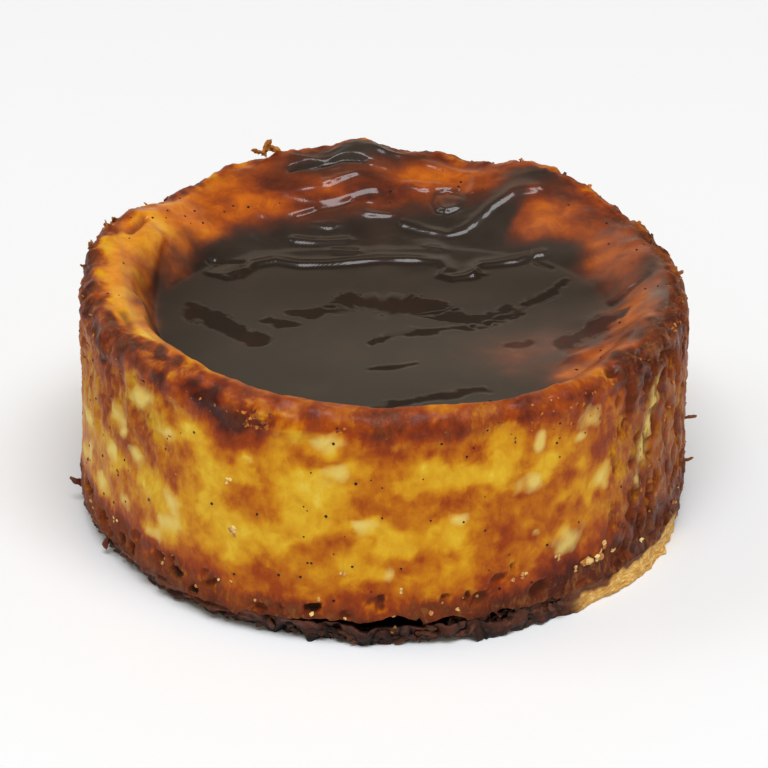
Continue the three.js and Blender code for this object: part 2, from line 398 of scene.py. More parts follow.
# %% Rows and columns of the custard's grid
FRONT_COLUMNS, BACK_COLUMNS = 272, 240  # the front half is seen from near, so it gets more of the columns
front_half = np.linspace(-180, 0, FRONT_COLUMNS, endpoint=False)
back_half = np.linspace(0, 180, BACK_COLUMNS, endpoint=False)
bearing = np.r_[front_half, back_half][None, :]
quarter = np.radians(np.linspace(-90, 0, 6))[1:]
crest = np.radians(np.linspace(0, 90, 9))[1:]
under_radii = np.r_[20, np.linspace(36, foot_radius, 5)]
foot_level, shoulder_level = BASE_THICKNESS + FOOT_ROUND, RIM_HEIGHT - RIM_ROUND
side_heights = np.linspace(foot_level, shoulder_level, 51)[1:]
top_radii = np.r_[np.linspace(rim_radius, 7, 121)[1:], np.linspace(7, 1.0, 6)[1:]]
mean_radius = np.r_[under_radii, foot_radius + FOOT_ROUND * np.cos(quarter), 0 * side_heights + FLAN_RADIUS,
                    rim_radius + RIM_ROUND * np.cos(crest), top_radii][:, None]
mean_height = np.r_[0 * under_radii + BASE_THICKNESS, foot_level + FOOT_ROUND * np.sin(quarter), side_heights,
                    shoulder_level + RIM_ROUND * np.sin(crest), 0 * top_radii + RIM_HEIGHT][:, None]
row = np.arange(len(mean_radius))[:, None]
is_top, is_under = row >= len(row) - len(top_radii), row < len(under_radii)
is_side = ~is_top
print("custard grid of", len(row), "rings with", bearing.size, "points each")


# %% Rings of the custard
def custard_rings():
    """Outside rows: the mean profile, raised with the rim, swollen with the side, lifted over the gaps of
    the foot and hung a little over the base in a ragged skirt. Top rows: the height formula of the sunken
    top at each radius."""
    rise = np.clip((mean_height - BASE_THICKNESS) / (RIM_HEIGHT - BASE_THICKNESS), 0, 1)
    near = step_up(mean_radius, FLAN_RADIUS - FOOT_GAP_REACH, foot_radius)
    gap = bumps(FOOT_GAPS, bearing) * near * (1 - rise) ** 4
    ragged = 0.4 + 0.7 * cloud(circle(bearing, FLAN_RADIUS), 2.6, 15, 3)
    skirt = np.maximum(0, ragged) * near * (1 - rise) ** 8
    rim_share = step_up(rim_radius, FLAN_RADIUS - FOOT_GAP_REACH, foot_radius)
    rim_swell = (side_radius(bearing, RIM_HEIGHT) - FLAN_RADIUS) * rim_share
    swell = (side_radius(bearing, mean_height) - FLAN_RADIUS) * near
    swell = np.where(is_top, rim_swell * step_up(mean_radius, 30, rim_radius), swell)
    outside = mean_height + (rim_height(bearing) - RIM_HEIGHT) * rise + gap - skirt
    height = np.where(is_top, top_height(bearing, mean_radius), outside)
    angle = np.radians(bearing)
    radius = mean_radius + swell
    return np.stack([radius * np.cos(angle), radius * np.sin(angle), height], axis=-1)


plain = custard_rings()
x, y, z = np.moveaxis(plain, -1, 0)
radius = np.hypot(x, y)
print(f"custard reaches {radius.max():.1f} mm out and {z.max():.1f} mm up")

# %% [markdown]
# ## Relief of the skin
# The skin of the top is thin and glossy, so small folds matter: each one draws a bright line where it turns
# towards the soft box, and each patch that tips towards the viewer drops out of the sweep's reflection and
# shows its own dark brown. Both are real shapes here, ridges and tipped patches along short paths.

# %% Folds
FOLD_BACK = 2.2  # how much wider a ridge falls away behind than in front
SKIN_FOLDS = [  # path in x and y, height, half width
    ([(-21.4, 11.1), (-19.3, 14.2), (-16.2, 15.4), (-12.5, 14.4), (-7.9, 14.8), (-0.4, 16.1),
      (5.7, 15.9), (8.7, 15.6), (9.7, 13.5), (8.7, 11.7), (10.5, 10.7), (13.9, 11.3)], 0.46, 0.55),
    ([(14.0, 12.2), (14.2, 13.6), (15.1, 14.4), (20.2, 14.9), (23.0, 16.4), (24.3, 16.5)], 0.46, 0.55),
    ([(3.2, 25.4), (6.0, 24.1), (9.9, 22.7), (12.6, 23.4), (16.7, 27.1), (20.1, 28.6),
      (23.3, 28.2)], 0.52, 0.6),
    ([(-13.4, 21.1), (-11.0, 20.8), (-8.5, 20.8), (-5.6, 21.1)], 0.5, 0.6),
    ([(-7.0, 18.2), (-4.5, 18.0)], 0.42, 0.55),
    ([(7.4, 19.3), (8.5, 18.9)], 0.42, 0.5),
    ([(-15.3, 30.1), (-11.0, 29.0), (-6.1, 30.2), (-0.7, 31.6)], 0.2, 0.4),
    ([(-14.7, 30.6), (-9.0, 32.2), (-5.3, 33.4)], 0.19, 0.4),
    ([(-14.0, 26.7), (-10.4, 28.0)], 0.2, 0.4),
    ([(-19.8, 22.2), (-18.6, 21.2), (-17.7, 20.6)], 0.3, 0.5),
    ([(-19.4, 26.2), (-18.6, 25.6)], 0.2, 0.4),
    ([(6.7, 38.4), (10.9, 37.1), (14.4, 35.4), (13.9, 31.5)], 0.3, 0.45),
    ([(27.9, 24.0), (32.8, 21.7), (36.7, 17.7), (40.6, 14.8)], 0.3, 0.7),
    ([(27.7, 27.0), (28.1, 28.4), (29.2, 29.1)], 0.25, 0.5),
    ([(37.3, 12.5), (39.8, 13.5)], 0.3, 0.7),
    ([(28, -16), (33, -12), (37, -12)], 0.5, 1.0),
    ([(-14.2, 35.1), (-10.5, 36.7), (-6.6, 37.4), (-3.0, 36.7)], -0.9, 0.6),
    ([(22.4, 17.0), (23.2, 14.4), (25.5, 12.4)], -0.2, 0.4),
    ([(12.6, 30.3), (11.8, 32.3), (10.1, 33.1), (8.4, 32.3), (7.6, 30.3), (8.4, 28.3), (10.1, 27.5),
      (11.8, 28.3), (12.6, 30.3)], -0.35, 0.4),
    ([(-13.2, 26.1), (-9.6, 27.7), (-5.0, 29.4)], -0.25, 0.45),
    ([(33.8, 0.7), (36.6, 2.3), (39.4, 3.3)], -0.4, 0.5),
    ([(-37.7, 11.3), (-36.7, 13.2), (-35.7, 15.7)], -1.0, 0.7),
    ([(-34.7, 2.4), (-33.9, 9.8), (-33.1, 13.0)], 0.35, 0.6),
    ([(-37.2, -15.8), (-36.1, -19.0), (-35.3, -22.3)], -0.5, 0.7),
    ([(-26.7, -31.9), (-30.3, -28.4), (-33.4, -22.8), (-36.3, -17.7), (-37.9, -5.0),
      (-39.5, 8.0)], 0.5, 0.8),
    ([(-36.4, 16.6), (-33.2, 19.4), (-30.7, 24.3), (-29.4, 28.5)], 0.4, 0.8),
]


def flat(x, y):
    """Places in plan as points with no height, for fields of lumps."""
    return np.stack([x, y, 0 * x], axis=-1)


def fold_relief(x, y):
    """Each fold is a ridge, or a groove if its height is negative: a bell curve of the distance to its path,
    wider on the far side of a ridge, with a height that swells and sinks along it."""
    uneven = 1 + 0.3 * lumps(flat(x, y), 4.0, 43)
    total = np.zeros_like(x)
    for path, height, half in SKIN_FOLDS:
        offset = path_offset(x, y, path)
        total += height * bell(offset, np.where((offset > 0) & (height > 0), FOLD_BACK * half, half))
    return uneven * total


print(len(SKIN_FOLDS), "folds, the highest", max(height for path, height, half in SKIN_FOLDS), "mm")

# %% Islands
SKIN_ISLANDS = [  # path in x and y, half width, tilt
    ([(-24.6, 12.4), (-22.0, 13.2)], 2.2, -0.17),
    ([(-27.6, -1.0), (-24.5, -3.4), (-21.5, -6.2), (-18.2, -8.6)], 2.0, 0.17),
    ([(-16.6, -2.6), (-13.8, -3.6)], 1.3, 0.17),
    ([(-13.2, 0.4), (-7.0, 0.8)], 1.4, 0.17),
    ([(-4.5, 4.2), (2.0, 3.4), (7.5, 2.2)], 2.5, 0.17),
    ([(8.0, 0.2), (14.0, -2.4), (18.5, 0.4)], 1.5, 0.17),
    ([(-1.2, -8.7), (0.8, -7.0), (8.6, -4.9), (15.0, -4.0), (19.9, -0.2), (27.6, 8.7)], 0.8, 0.2),
    ([(18.2, -11.2), (21.4, -9.9)], 0.8, 0.18),
    ([(26.6, -10.8), (30.5, -7.0), (34.5, -4.6)], 1.8, 0.17),
    ([(-1.6, -17.4), (1.6, -17.0), (4.7, -15.9)], 0.5, 0.25),
    ([(-4.0, -31.0), (4.0, -28.2), (14.6, -25.0)], 0.9, 0.2),
]


def island_edge(x, y, path, half):
    """1 inside an island and 0 outside: an S-step of the distance to its path, moved in and out by lumps."""
    ragged = 0.8 * cloud(flat(x, 1.6 * y), 2.6, 41, 3)
    return step_up(np.abs(path_offset(x, y, path)) - ragged * min(1.0, half), half + 0.35, half - 0.35)


def island_relief(x, y):
    """Each island is a patch tipped towards -y: the tilt times the offset in y from its path."""
    relief = np.zeros_like(x)
    for path, half, tip in SKIN_ISLANDS:
        offset = y - np.interp(x, *np.transpose(path))
        relief += tip * np.clip(offset, -1.5 * half, 1.5 * half) * island_edge(x, y, path, half)
    return relief


print(len(SKIN_ISLANDS), "islands")

# %% Blisters
BLISTER_LEVEL = 0.22  # how far a blister's top is levelled against the slope
BLISTER_BEAD = (0.19, 0.4)  # mm, height and half width of the bead round a blister
SKIN_BLISTERS = [  # x, y, half length, half depth of flat-topped blisters
    (-7.0, 34.4, 3.4, 1.3), (-0.8, 27.7, 3.2, 1.3), (-8.4, 24.8, 1.8, 0.6), (10.1, 30.3, 2.3, 2.4),
    (-10.6, 38.6, 4.2, 1.4), (6.0, 33.6, 2.4, 0.7), (1.5, 40.0, 3.0, 1.3), (-1.0, 36.4, 2.2, 0.7),
]


def blister_relief(x, y):
    """Each blister is levelled: it falls towards +y against the slope, inside an S-step at the edge of an
    ellipse that is bent by a slow drift. A thin bead runs round it: a bell curve of the distance to it."""
    bend_x, bend_y = (0.6 * lumps(flat(x, y), 2.2, seed) for seed in (44, 45))
    total = np.zeros_like(x)
    for px, py, long, deep in SKIN_BLISTERS:
        reach = np.hypot((x - px + bend_x) / long, (y - py + bend_y) / deep)
        bead = BLISTER_BEAD[0] * bell((reach - 1) * deep, BLISTER_BEAD[1])
        total += (0.1 - BLISTER_LEVEL * (y - py)) * step_up(reach, 1.15, 0.8) + bead
    return total


inner = is_top * step_up(radius, 43.0, 40.5)
waves = 0.07 * lumps(plain, 13.0, 5) + 0.03 * lumps(plain, 5.5, 6)
back_puckers = 0.10 * cloud(plain * [1.0, 2.0, 1.0], 6.5, 8) * step_up(y, 14, 26)
top_relief = fold_relief(x, y) + island_relief(x, y) + blister_relief(x, y) + waves + back_puckers
top_relief *= inner
print(f"skin relief from {top_relief.min():.2f} to {top_relief.max():.2f} mm")

# %% [markdown]
# ## Relief of the side
# The side is smooth where the ring held it, with low lumps. The rim is lumpy. The foot is full of burst
# bubbles, and the right-hand side is a dry, grainy crust. Masks come first: fields that are 1 where a kind of
# surface is and 0 elsewhere. All relief is then moved along the surface normal at once.


# %% Where the rim, the foot and the crusts are
def sector(at, width):
    """1 at a bearing of the custard's grid and less on both sides of it: a bell curve of the way round."""
    return bell(turn(at, bearing), width)


CREST_RADIUS = 43.4  # mm, the middle of the rounded rim
below_rim = rim_height(bearing) - z
off_base = step_up(z, 3.2, 4.4)
side_mask = is_side * off_base * step_up(below_rim, 0.0, 2.6)
rim_mask = bell(radius - CREST_RADIUS, 2.4) * step_up(z, 30.0, 33.5)
foot_top = 7.2 + 2.2 * sector(-165, 28) + 1.2 * sector(-35, 25) + 1.6 * lumps(plain, 5.0, 13)
foot_mask = is_side * step_up(z, foot_top + 1.0, foot_top - 2.2)
right_crust = is_side * step_up(np.abs(turn(-4, bearing) + 3.0 * lumps(plain, 9.0, 11)), 44, 32)
left_crust = is_side * step_up(np.abs(turn(192, bearing) + 5.0 * lumps(plain, 8.0, 12)), 44, 24)
left_crust *= 0.3 + 0.7 * step_up(z, 16, 27)
dry_crust = is_side * off_base * step_up(below_rim, -0.3, 0.9) * right_crust
print(f"bubbly foot up to {foot_top.max():.1f} mm")

# %% Pits
FOOT_PITS = [  # bearing, height, half width, half height, depth
    (-144, 5.0, 1.3, 1.2, 1.3), (-130.5, 5.8, 1.4, 0.9, 1.2), (-126, 3.9, 1.0, 0.9, 1.1),
    (-103, 5.6, 1.4, 0.7, 1.2), (-90.5, 7.7, 0.8, 0.8, 0.8), (-72.5, 7.5, 1.3, 1.0, 0.7),
    (-69, 9.7, 1.0, 0.8, 0.65), (-60.5, 6.0, 1.5, 1.2, 0.85), (-142, 8.0, 1.2, 0.7, 0.5),
    (-135, 6.8, 1.2, 0.6, 0.6), (-75, 7.8, 0.5, 1.1, 0.8), (-79, 7.9, 0.9, 0.5, 0.8),
    (-154, 6.2, 1.6, 0.9, 1.2), (-163, 7.4, 2.0, 1.0, 1.2), (-112, 4.6, 1.0, 0.7, 0.7),
    (-66.5, 10.7, 0.6, 0.6, 0.65),
]
RIM_PITS = [  # as above, in the crust under the rim at the right
    (-31.6, 34.8, 0.9, 1.1, 0.9), (-29.3, 32.2, 0.7, 1.0, 0.8), (-37.0, 33.8, 0.8, 0.7, 0.8),
    (-25.3, 30.0, 0.7, 0.9, 0.8), (-23.6, 32.9, 0.8, 1.1, 0.9), (-19.5, 34.6, 0.8, 1.2, 0.9),
    (-19.2, 31.2, 0.7, 1.0, 0.8), (-12.8, 31.1, 0.8, 1.0, 0.8), (-13.5, 34.2, 0.8, 0.9, 0.8),
    (-41.0, 35.0, 1.6, 0.6, 0.75),
]
MORE_PITS = 60
NOWHERE = -2.0  # what a field of spots says far from any spot
drift, sink = (0.9 * cloud(plain, 3.0, seed, 3) for seed in (28, 29))


def side_gap(at, height, wander=1.0):
    """Distance round and up from a place on the side, in mm, bent by a slow drift so that no shape is a neat
    ellipse."""
    return np.radians(turn(at, bearing)) * FLAN_RADIUS + wander * drift, z - height + wander * sink


def spot_field(spots, wander):
    """For the nearest spot at each point: a field that is 1 in its middle, 0 at its edge and less outside,
    which is one less the scaled distance, and that spot's own depth."""
    field, depth = np.full(z.shape, NOWHERE), np.zeros(z.shape)
    for at, height, wide, tall, deep in spots:
        across, above = side_gap(at, height, wander)
        near = 1 - np.hypot(across / wide, above / tall)
        depth = np.where(near > field, deep, depth)
        field = np.maximum(field, near)
    return field, depth


def more_pits(count, seed):
    """Seeded pits of the same kind all round the foot, smaller and thinning out upwards."""
    draw = np.random.default_rng(seed)
    size = draw.uniform(0.5, 1.0, count)
    at, height = draw.uniform(-180, 180, count), 4.2 + 4.5 * draw.random(count) ** 1.6
    tall, deep = size * draw.uniform(0.5, 1.0, count), draw.uniform(0.3, 0.9, count)
    return np.stack([at, height, size, tall, deep], axis=1).tolist()


pit_field, pit_depth = spot_field(FOOT_PITS + RIM_PITS + more_pits(MORE_PITS, 17), 0.45)
pit_field = np.where(is_top, NOWHERE, pit_field)
pits = pit_depth * step_up(pit_field, -0.15, 0.4)
print(f"pits down to {pits.max():.2f} mm")

# %% Crust, rim and the whole surface
SLIVER = [(2.1, 28.9), (-2.3, 20.1)]  # mm round from SLIVER_AT and up: a straight sliver of bare custard
SLIVER_AT, SLIVER_HALF = -31, 1.2  # bearing, and half width in mm
sliver = np.abs(path_offset(np.radians(turn(SLIVER_AT, bearing)) * FLAN_RADIUS, z, SLIVER))
streaks = cloud(plain * [1.0, 1.0, 0.6], 1.7, 22, 3)
craters = step_up(-streaks, 0.25, 0.6)
cracks = bell(cloud(plain * [1.0, 1.0, 0.45], 3.4, 39, 3), 0.1)
foot_lumps = foot_mask * (0.12 * streaks + 0.26 * cloud(plain, 1.6, 25, 2))
side_relief = side_mask * (0.12 * lumps(plain, 8.0, 21) + 0.03 * lumps(plain, 2.0, 19) + foot_lumps) - pits
grains = 0.24 * cloud(plain, 1.5, 23, 2) - 0.9 * craters + 0.15
side_relief += dry_crust * (1 - 0.85 * bell(sliver, 1.3)) * grains
side_relief += 0.5 * side_mask * left_crust * streaks
cracked = (sliver > SLIVER_HALF) * cracks * np.maximum(right_crust, 0.7 * left_crust)
side_relief -= 0.5 * side_mask * cracked
rugged = 1 + 0.8 * sector(25, 50) + 0.5 * sector(170, 30) + 0.7 * sector(-132, 30)
rim_lumps = 0.36 * cloud(plain, 5.0, 24, 3) + 0.26 * cloud(plain, 2.0, 27, 3) + 0.16 * lumps(plain, 1.1, 26)
crumble = sector(-112, 6) * bell(below_rim - 2.0, 2.0) * is_side
crumble_lumps = crumble * step_up(cloud(plain, 1.3, 46, 2), 0.0, 0.5)
rim_relief = rugged * rim_mask * rim_lumps + 0.7 * crumble_lumps
custard_surface = plain + outward(plain) * (top_relief + side_relief + rim_relief)[..., None]
print(f"side relief from {side_relief.min():.2f} to {side_relief.max():.2f} mm")

# %% [markdown]
# ## Where the side is gold, brown and cream
# Baking browned the custard unevenly. The stains are soft clouds with a few listed patches: dark ones
# under the rim, pale ones in the middle. A number from 0, pale gold, to 1, dark brown, is kept at each
# point, and the material turns it into colour. Cream spots, where the skin came off, have a sharp edge, so
# their field crosses zero at the edge and the material cuts it there.

# %% Stains and gold patches
SIDE_STAINS = [  # bearing, height, half width, half height, amount
    (-151, 32, 5, 5, 0.15), (-146, 32, 2.5, 3, 0.112), (-122, 34.4, 4, 2.4, 0.29),
    (-117, 32.6, 4, 2.6, 0.3), (-119, 30, 2.4, 3, 0.19), (-112, 32.2, 2.4, 2.4, 0.165),
    (-128, 26, 3.5, 1.4, 0.096), (-139, 26, 2.8, 2, 0.15), (-135, 24, 4.5, 2.2, 0.128),
    (-141, 29, 2.5, 1.5, 0.096), (-152, 24, 3, 1.6, 0.08), (-146, 22, 3, 1.5, 0.08),
    (-133, 21.5, 4, 2, 0.096), (-124, 15.5, 2.2, 1.4, 0.112), (-155, 14.5, 4, 1.5, 0.064),
    (-146, 8.4, 7, 2, 0.112), (-125, 8.6, 3, 1.5, 0.08), (-117, 22, 3.8, 1.6, 0.12),
    (-112, 24, 1.8, 3, 0.096), (-102, 29.5, 3, 1.8, 0.18), (-95, 32, 3, 2.2, 0.1),
    (-90, 32.4, 3, 2.4, 0.1), (-92, 30.4, 4, 1.6, 0.096), (-79.5, 33, 2.8, 2.2, 0.12),
    (-84, 30.4, 4, 1.4, 0.112), (-72, 30, 2.2, 3, 0.18), (-68, 34, 1.8, 1, 0.15), (-63, 34, 1.8, 1, 0.15),
    (-93, 23.4, 4.5, 2.2, 0.104), (-88, 21.4, 3, 1.4, 0.104), (-79, 22.2, 3.3, 1.5, 0.144),
    (-71, 22.5, 4, 2, 0.096), (-69, 18, 4, 3, 0.096), (-65, 15.5, 3.5, 3, 0.096),
    (-83, 13.2, 3.5, 1.5, 0.12), (-89, 10.3, 1.6, 0.8, 0.08), (-114, 11, 4, 1.8, 0.096),
    (-121, 10, 4, 1.8, 0.08), (-101, 13.5, 2, 1.2, 0.064), (-98, 17, 1.4, 1, 0.064),
    (-54, 30.5, 3.6, 2.4, 0.15), (-49.5, 34, 3, 1.4, 0.112), (-45.5, 26, 2, 1.4, 0.128),
    (-36, 32, 5, 5, 0.16), (-37, 9, 7, 2.2, 0.096), (-20, 31, 9, 4, 0.16), (178, 30, 8, 5, 0.12),
    (-33, 33.5, 5, 2.6, 0.14), (-14, 33, 8, 3, 0.16), (-50, 6.4, 6, 2, 0.15), (-66, 10, 5, 2, 0.048),
]
GOLD_PATCHES = [  # bearing, height, half width, half height, amount
    (-139, 31.2, 2.6, 2.1, 1.2), (-132.5, 27.8, 2.8, 1.6, 1.1), (-127, 29.6, 2.6, 1.5, 1.0),
    (-147.5, 25.6, 2, 2, 1.0), (-150, 19, 2, 2, 0.9), (-139, 17.5, 4.5, 1.8, 0.8),
    (-148, 17, 2.2, 2, 0.6), (-131.5, 15, 2.6, 3.4, 1.1), (-137, 10, 2.6, 1.6, 0.9),
    (-154.5, 11.5, 2, 1.8, 0.9), (-163, 14, 3.5, 2.5, 0.8), (-163, 19, 3.2, 1.6, 0.6),
    (-123.5, 24.6, 3, 3, 0.8), (-120.5, 18.5, 4, 3.6, 1.0), (-120, 12.6, 4, 1.8, 0.7),
    (-115.5, 25.4, 4.6, 1.8, 1.0), (-114, 28.3, 1.6, 0.8, 0.8), (-101, 32.4, 3.8, 1.5, 1.2),
    (-99, 28, 2.4, 2, 1.0), (-103, 23.6, 3.8, 4.6, 1.2), (-103, 18.6, 2.6, 2, 0.8),
    (-110, 17, 3.2, 2.2, 0.9), (-93, 20, 2.4, 1.3, 1.0), (-89, 16.6, 6, 2.2, 1.0),
    (-93.5, 12.8, 4.4, 2.2, 0.9), (-82, 25.7, 5, 1.7, 1.0), (-81, 28.4, 2.6, 1.4, 0.9),
    (-76, 27.6, 2.2, 1.6, 0.8), (-72, 26.4, 3.6, 1.6, 0.9), (-66, 28.6, 3, 2.2, 1.0),
    (-67, 31.8, 2.6, 1.3, 0.9), (-77.5, 18.6, 2.8, 2.4, 1.0), (-75.5, 14.2, 2.4, 3, 1.0),
    (-62, 23.4, 3, 2, 1.1), (-58, 26, 1.8, 1.4, 0.8), (-51.5, 23.4, 2.6, 2.4, 0.9),
    (-49.5, 18, 1.8, 1.4, 0.8), (-55, 19, 3, 3, 0.5), (-46, 20, 2.2, 2, 1.0), (-55, 14.6, 2.4, 2, 0.6),
]


def stain_sum(stains):
    """The sum of bell-shaped stains on the side, each by its bearing, height and half sizes."""
    total = np.zeros_like(z)
    for at, height, wide, tall, amount in stains:
        across, above = side_gap(at, height)
        total += amount * bell(across, wide) * bell(above, tall)
    return total


from_back = np.abs(turn(90, bearing))
gold = stain_sum(GOLD_PATCHES) + 0.5 * cloud(plain, 4.0, 35, 4) * step_up(from_back, 60, 110)
gold += 0.9 * cloud(plain, 5.0, 36, 4) * step_up(from_back, 110, 60)
gold = step_up(gold, 0.2, 0.75) * (1 - right_crust)
print(len(SIDE_STAINS), "stains and", len(GOLD_PATCHES), "gold patches")

# %% Browning of the side, with painted shade in the cracks and a painted highlight round the pits
PLAIN_BROWN = 0.45  # bare side, before anything is added
CRUST_BROWN = 0.545  # the palest that the dry crust gets
near_rim = 0.16 * step_up(below_rim, 5.0, 2.0) + 0.06 * step_up(below_rim, 9, 4) - 0.26 * crumble_lumps
near_rim += 0.16 * sector(185, 40) * step_up(below_rim, 6, 2)
near_rim += rim_mask * (0.03 + (0.26 - 0.16 * sector(-85, 38)) * cloud(plain, 2.4, 37, 4))
near_foot = 0.16 * step_up(z, 12.5, 6.5) + 0.05 * step_up(z, 14, 8) + 0.12 * step_up(z, 5.0, 3.4)
near_foot += (0.14 + 0.12 * sector(-86, 30)) * foot_mask
dry_right = right_crust * (0.165 + 0.08 * step_up(z, 18, 9))
dry_right += 0.2 * dry_crust * cloud(plain * [1, 1, 0.6], 1.6, 38, 3)
dry_left = left_crust * (0.04 + 0.14 * cloud(plain * [1, 1, 0.35], 1.5, 40, 3))
blotches = 0.09 * np.tanh(1.6 * cloud(plain, 5.0, 31, 4)) + 0.15 * sector(-54, 17) * step_up(z, 30, 22)
# The listed stains, less the gold, and a painted highlight: a paler ring round the lip of each pit.
listed_stains_and_pit_lip_highlight = stain_sum(SIDE_STAINS) - 0.22 * gold - 0.14 * bell(pit_field + 0.2, 0.15)
side_brown = PLAIN_BROWN + near_rim + near_foot + dry_right + dry_left + blotches + listed_stains_and_pit_lip_highlight
side_brown = np.maximum(side_brown, CRUST_BROWN * right_crust)
# Painted shade along the cracks of the crusts, which are also cut into the surface.
side_brown += 0.2 * cracks * np.maximum(right_crust, 0.8 * left_crust)
print(f"side browning is {side_brown[is_side[:, 0]].mean():.2f} on the mean")

# %% Cream spots
CREAM_SPOTS = [  # bearing, height, half width, half height
    (-139, 31.2, 1.9, 1.7), (-132.5, 27.8, 1.9, 1.1), (-147.5, 25.6, 1.6, 1.7), (-144.2, 23.7, 0.7, 0.8),
    (-141.3, 20.7, 1.4, 1.2), (-150, 19, 1.5, 1.5), (-131.5, 16.4, 1.5, 1.5), (-132.5, 13.0, 2.4, 1.1),
    (-137, 10, 1.8, 1.1), (-145.5, 12.5, 1.3, 1.3), (-154.5, 11.5, 1.4, 1.3), (-161, 14.4, 1.1, 2.0),
    (-166, 12.2, 2.0, 1.4), (-163, 19.2, 2.0, 0.8), (-100.5, 32.3, 2.6, 1.0), (-98.6, 27.6, 1.7, 1.4),
    (-93, 20, 1.7, 0.9), (-89, 11.7, 0.8, 1.1), (-117, 16.1, 0.8, 0.5), (-54, 12.4, 1.9, 1.6),
    (-46, 20, 1.6, 1.6), (-49.3, 30.4, 1.9, 1.3), (-60.4, 29.7, 0.8, 1.4), (-35.5, 17.0, 0.9, 2.0),
    (-62.6, 23.4, 1.6, 1.2), (-76.4, 19.8, 1.0, 0.8), (-61.5, 15.4, 0.6, 0.5), (-51.4, 28, 1.0, 0.7),
    (-114, 28.2, 1.0, 0.5),
]
BACK_SPOTS = 26  # seeded, for the half of the side that faces away
BACK_SPANS = [(-8, 180), (8, 31), (0.7, 2.4), (0.7, 2.2)]  # bearing, height, half width, half height
spot_draw = np.random.default_rng(33)
back_spots = np.stack([spot_draw.uniform(*span, BACK_SPOTS) for span in BACK_SPANS], axis=1)
every_spot = np.vstack([CREAM_SPOTS, back_spots])
ragged = cloud(plain, 1.8, 34, 3)
cream = spot_field([(*spot, 0.0) for spot in every_spot.tolist()], 0.5)[0]
cream = cream + 0.6 * ragged - 0.22 * right_crust
cream = np.maximum(cream, 1 - sliver / SLIVER_HALF + 0.3 * ragged)
cream = np.where(is_top, -1.0, cream)
print(len(every_spot), "cream spots")

# %% [markdown]
# ## Where the top is dark, greyed by painted sheen, and glossy
# The lowest part of the top held a pool that dried to a skin, nearly black where it is thick. Round it the
# slope is orange and brown. Over parts of it and over the rim, grey is painted in as sheen: a painted
# reflection of the wet surface. The wet glaze ends in a ragged line at the rim, where the dry crust of the
# side begins.

# %% Dark skin
POOL_EDGE = [  # bearing, radius of the dark skin's edge
    (-180, 35.5), (-160, 36.5), (-135, 38), (-90, 40), (-55, 37), (-38, 33.5), (-25, 32), (-10, 34),
    (5, 34.5), (15, 33), (26, 34), (32, 34.5), (37, 32), (42, 29.5), (46, 28.5), (49, 30), (52, 35),
    (58, 34.5), (64, 32.5), (70, 31), (80, 29.5), (95, 27.5), (105, 27.5), (118, 28.5), (130, 30.5),
    (142, 32.5), (155, 34), (170, 35),
]
DARK_PATCHES = [  # x, y, half width, half depth, amount
    (-6, 39, 8, 3.6, 0.9), (-12, 35.5, 5, 1.8, 0.5), (27, 33, 5, 3, 0.72), (22.5, 31.5, 4, 2.5, 0.66),
    (-26, 34, 5, 2, 0.3), (10.4, 30.6, 2.2, 2.4, 0.5), (40.5, 5, 3, 3, 0.7), (36, -16, 3, 5, 0.45),
    (3, 40, 8, 2.4, 0.5), (-41, 14, 2, 4, 0.4), (28.5, 16.5, 3.5, 3, 0.35),
]
THIN_PATCH = (23, -13, 10, 8, 0.34)  # as above, where the skin is thin


def patch_sum(patches):
    """The sum of bell-shaped patches on the top, each by its place in x and y and its half sizes."""
    return sum(amount * bell(x - px, wide) * bell(y - py, deep) for px, py, wide, deep, amount in patches)


edge_bearing, edge_radius = np.array(POOL_EDGE).T
pool_edge = np.interp(turn(0, bearing), np.r_[edge_bearing, 180], np.r_[edge_radius, edge_radius[0]])
soft = 4.5 - 1.5 * step_up(y, 10, 22)
skin = step_up(radius - pool_edge + cloud(plain, 6.0, 51, 3), soft, -soft) + patch_sum(DARK_PATCHES)
uneven = 0.25 * cloud(plain, 5.0, 52, 3) * bell(skin - 0.5, 0.4)
skin = np.clip(skin * (1 - patch_sum([THIN_PATCH])) + uneven, 0, 1) * inner
islands = sum(island_edge(x, y, path, half) for path, half, tip in SKIN_ISLANDS if tip > 0)
# Painted shade in the creases: each groove of the skin is coloured darker along its line.
crease_shade = sum(min(1.0, -2 * height) * bell(path_offset(x, y, path), half)
              for path, height, half in SKIN_FOLDS if height < 0)
skin = np.clip(np.maximum(skin, 0.8 * islands * inner) + 0.5 * crease_shade * inner, 0, 1)
print(f"dark skin covers {skin[is_top[:, 0]].mean():.0%} of the top rings")

# %% Painted sheen and browning of the top
TOP_BROWN = 0.58  # the top, before anything is added
# Painted sheen: grey painted over the skin where it looks milky, standing in for the reflection of the wet
# surface.
SHEEN_PATCHES = [  # x, y, half width, half depth, amount
    (41, -6, 3, 6, 0.5), (41.5, 5, 2.5, 4, 0.4), (-6, 40, 9, 3, 0.08), (23, -13, 10, 8, 0.16),
    (37, 8, 4, 10, 0.16), (19, -31, 8, 2.2, 0.35), (28, 21, 8, 7, 0.12),
]
PALE_PATCHES = [(25, 24, 6, 6, 0.15), (10, 35.5, 8, 3.2, 0.3)]  # as above
# Painted shade: the facet on one side of this edge is coloured darker, as a face turned from the light.
SHADED_FACET = [(-32.8, 12.6), (-33.2, 8.5), (-34.4, 1.6)]  # x and y of a dark edge on the left inner wall
# Painted highlight: the crest of this lip is coloured paler, as lit.
LIP_HIGHLIGHT = [(-30.3, -28.4), (-33.4, -22.8), (-36.3, -17.7), (-37.6, -8.0)]  # and of a pale lip at the front left
painted_sheen = 0.08 * step_up(y, 13, 19) * skin + patch_sum(SHEEN_PATCHES)
painted_sheen = is_top * painted_sheen * (1 + 0.5 * cloud(plain, 4.0, 55, 3))
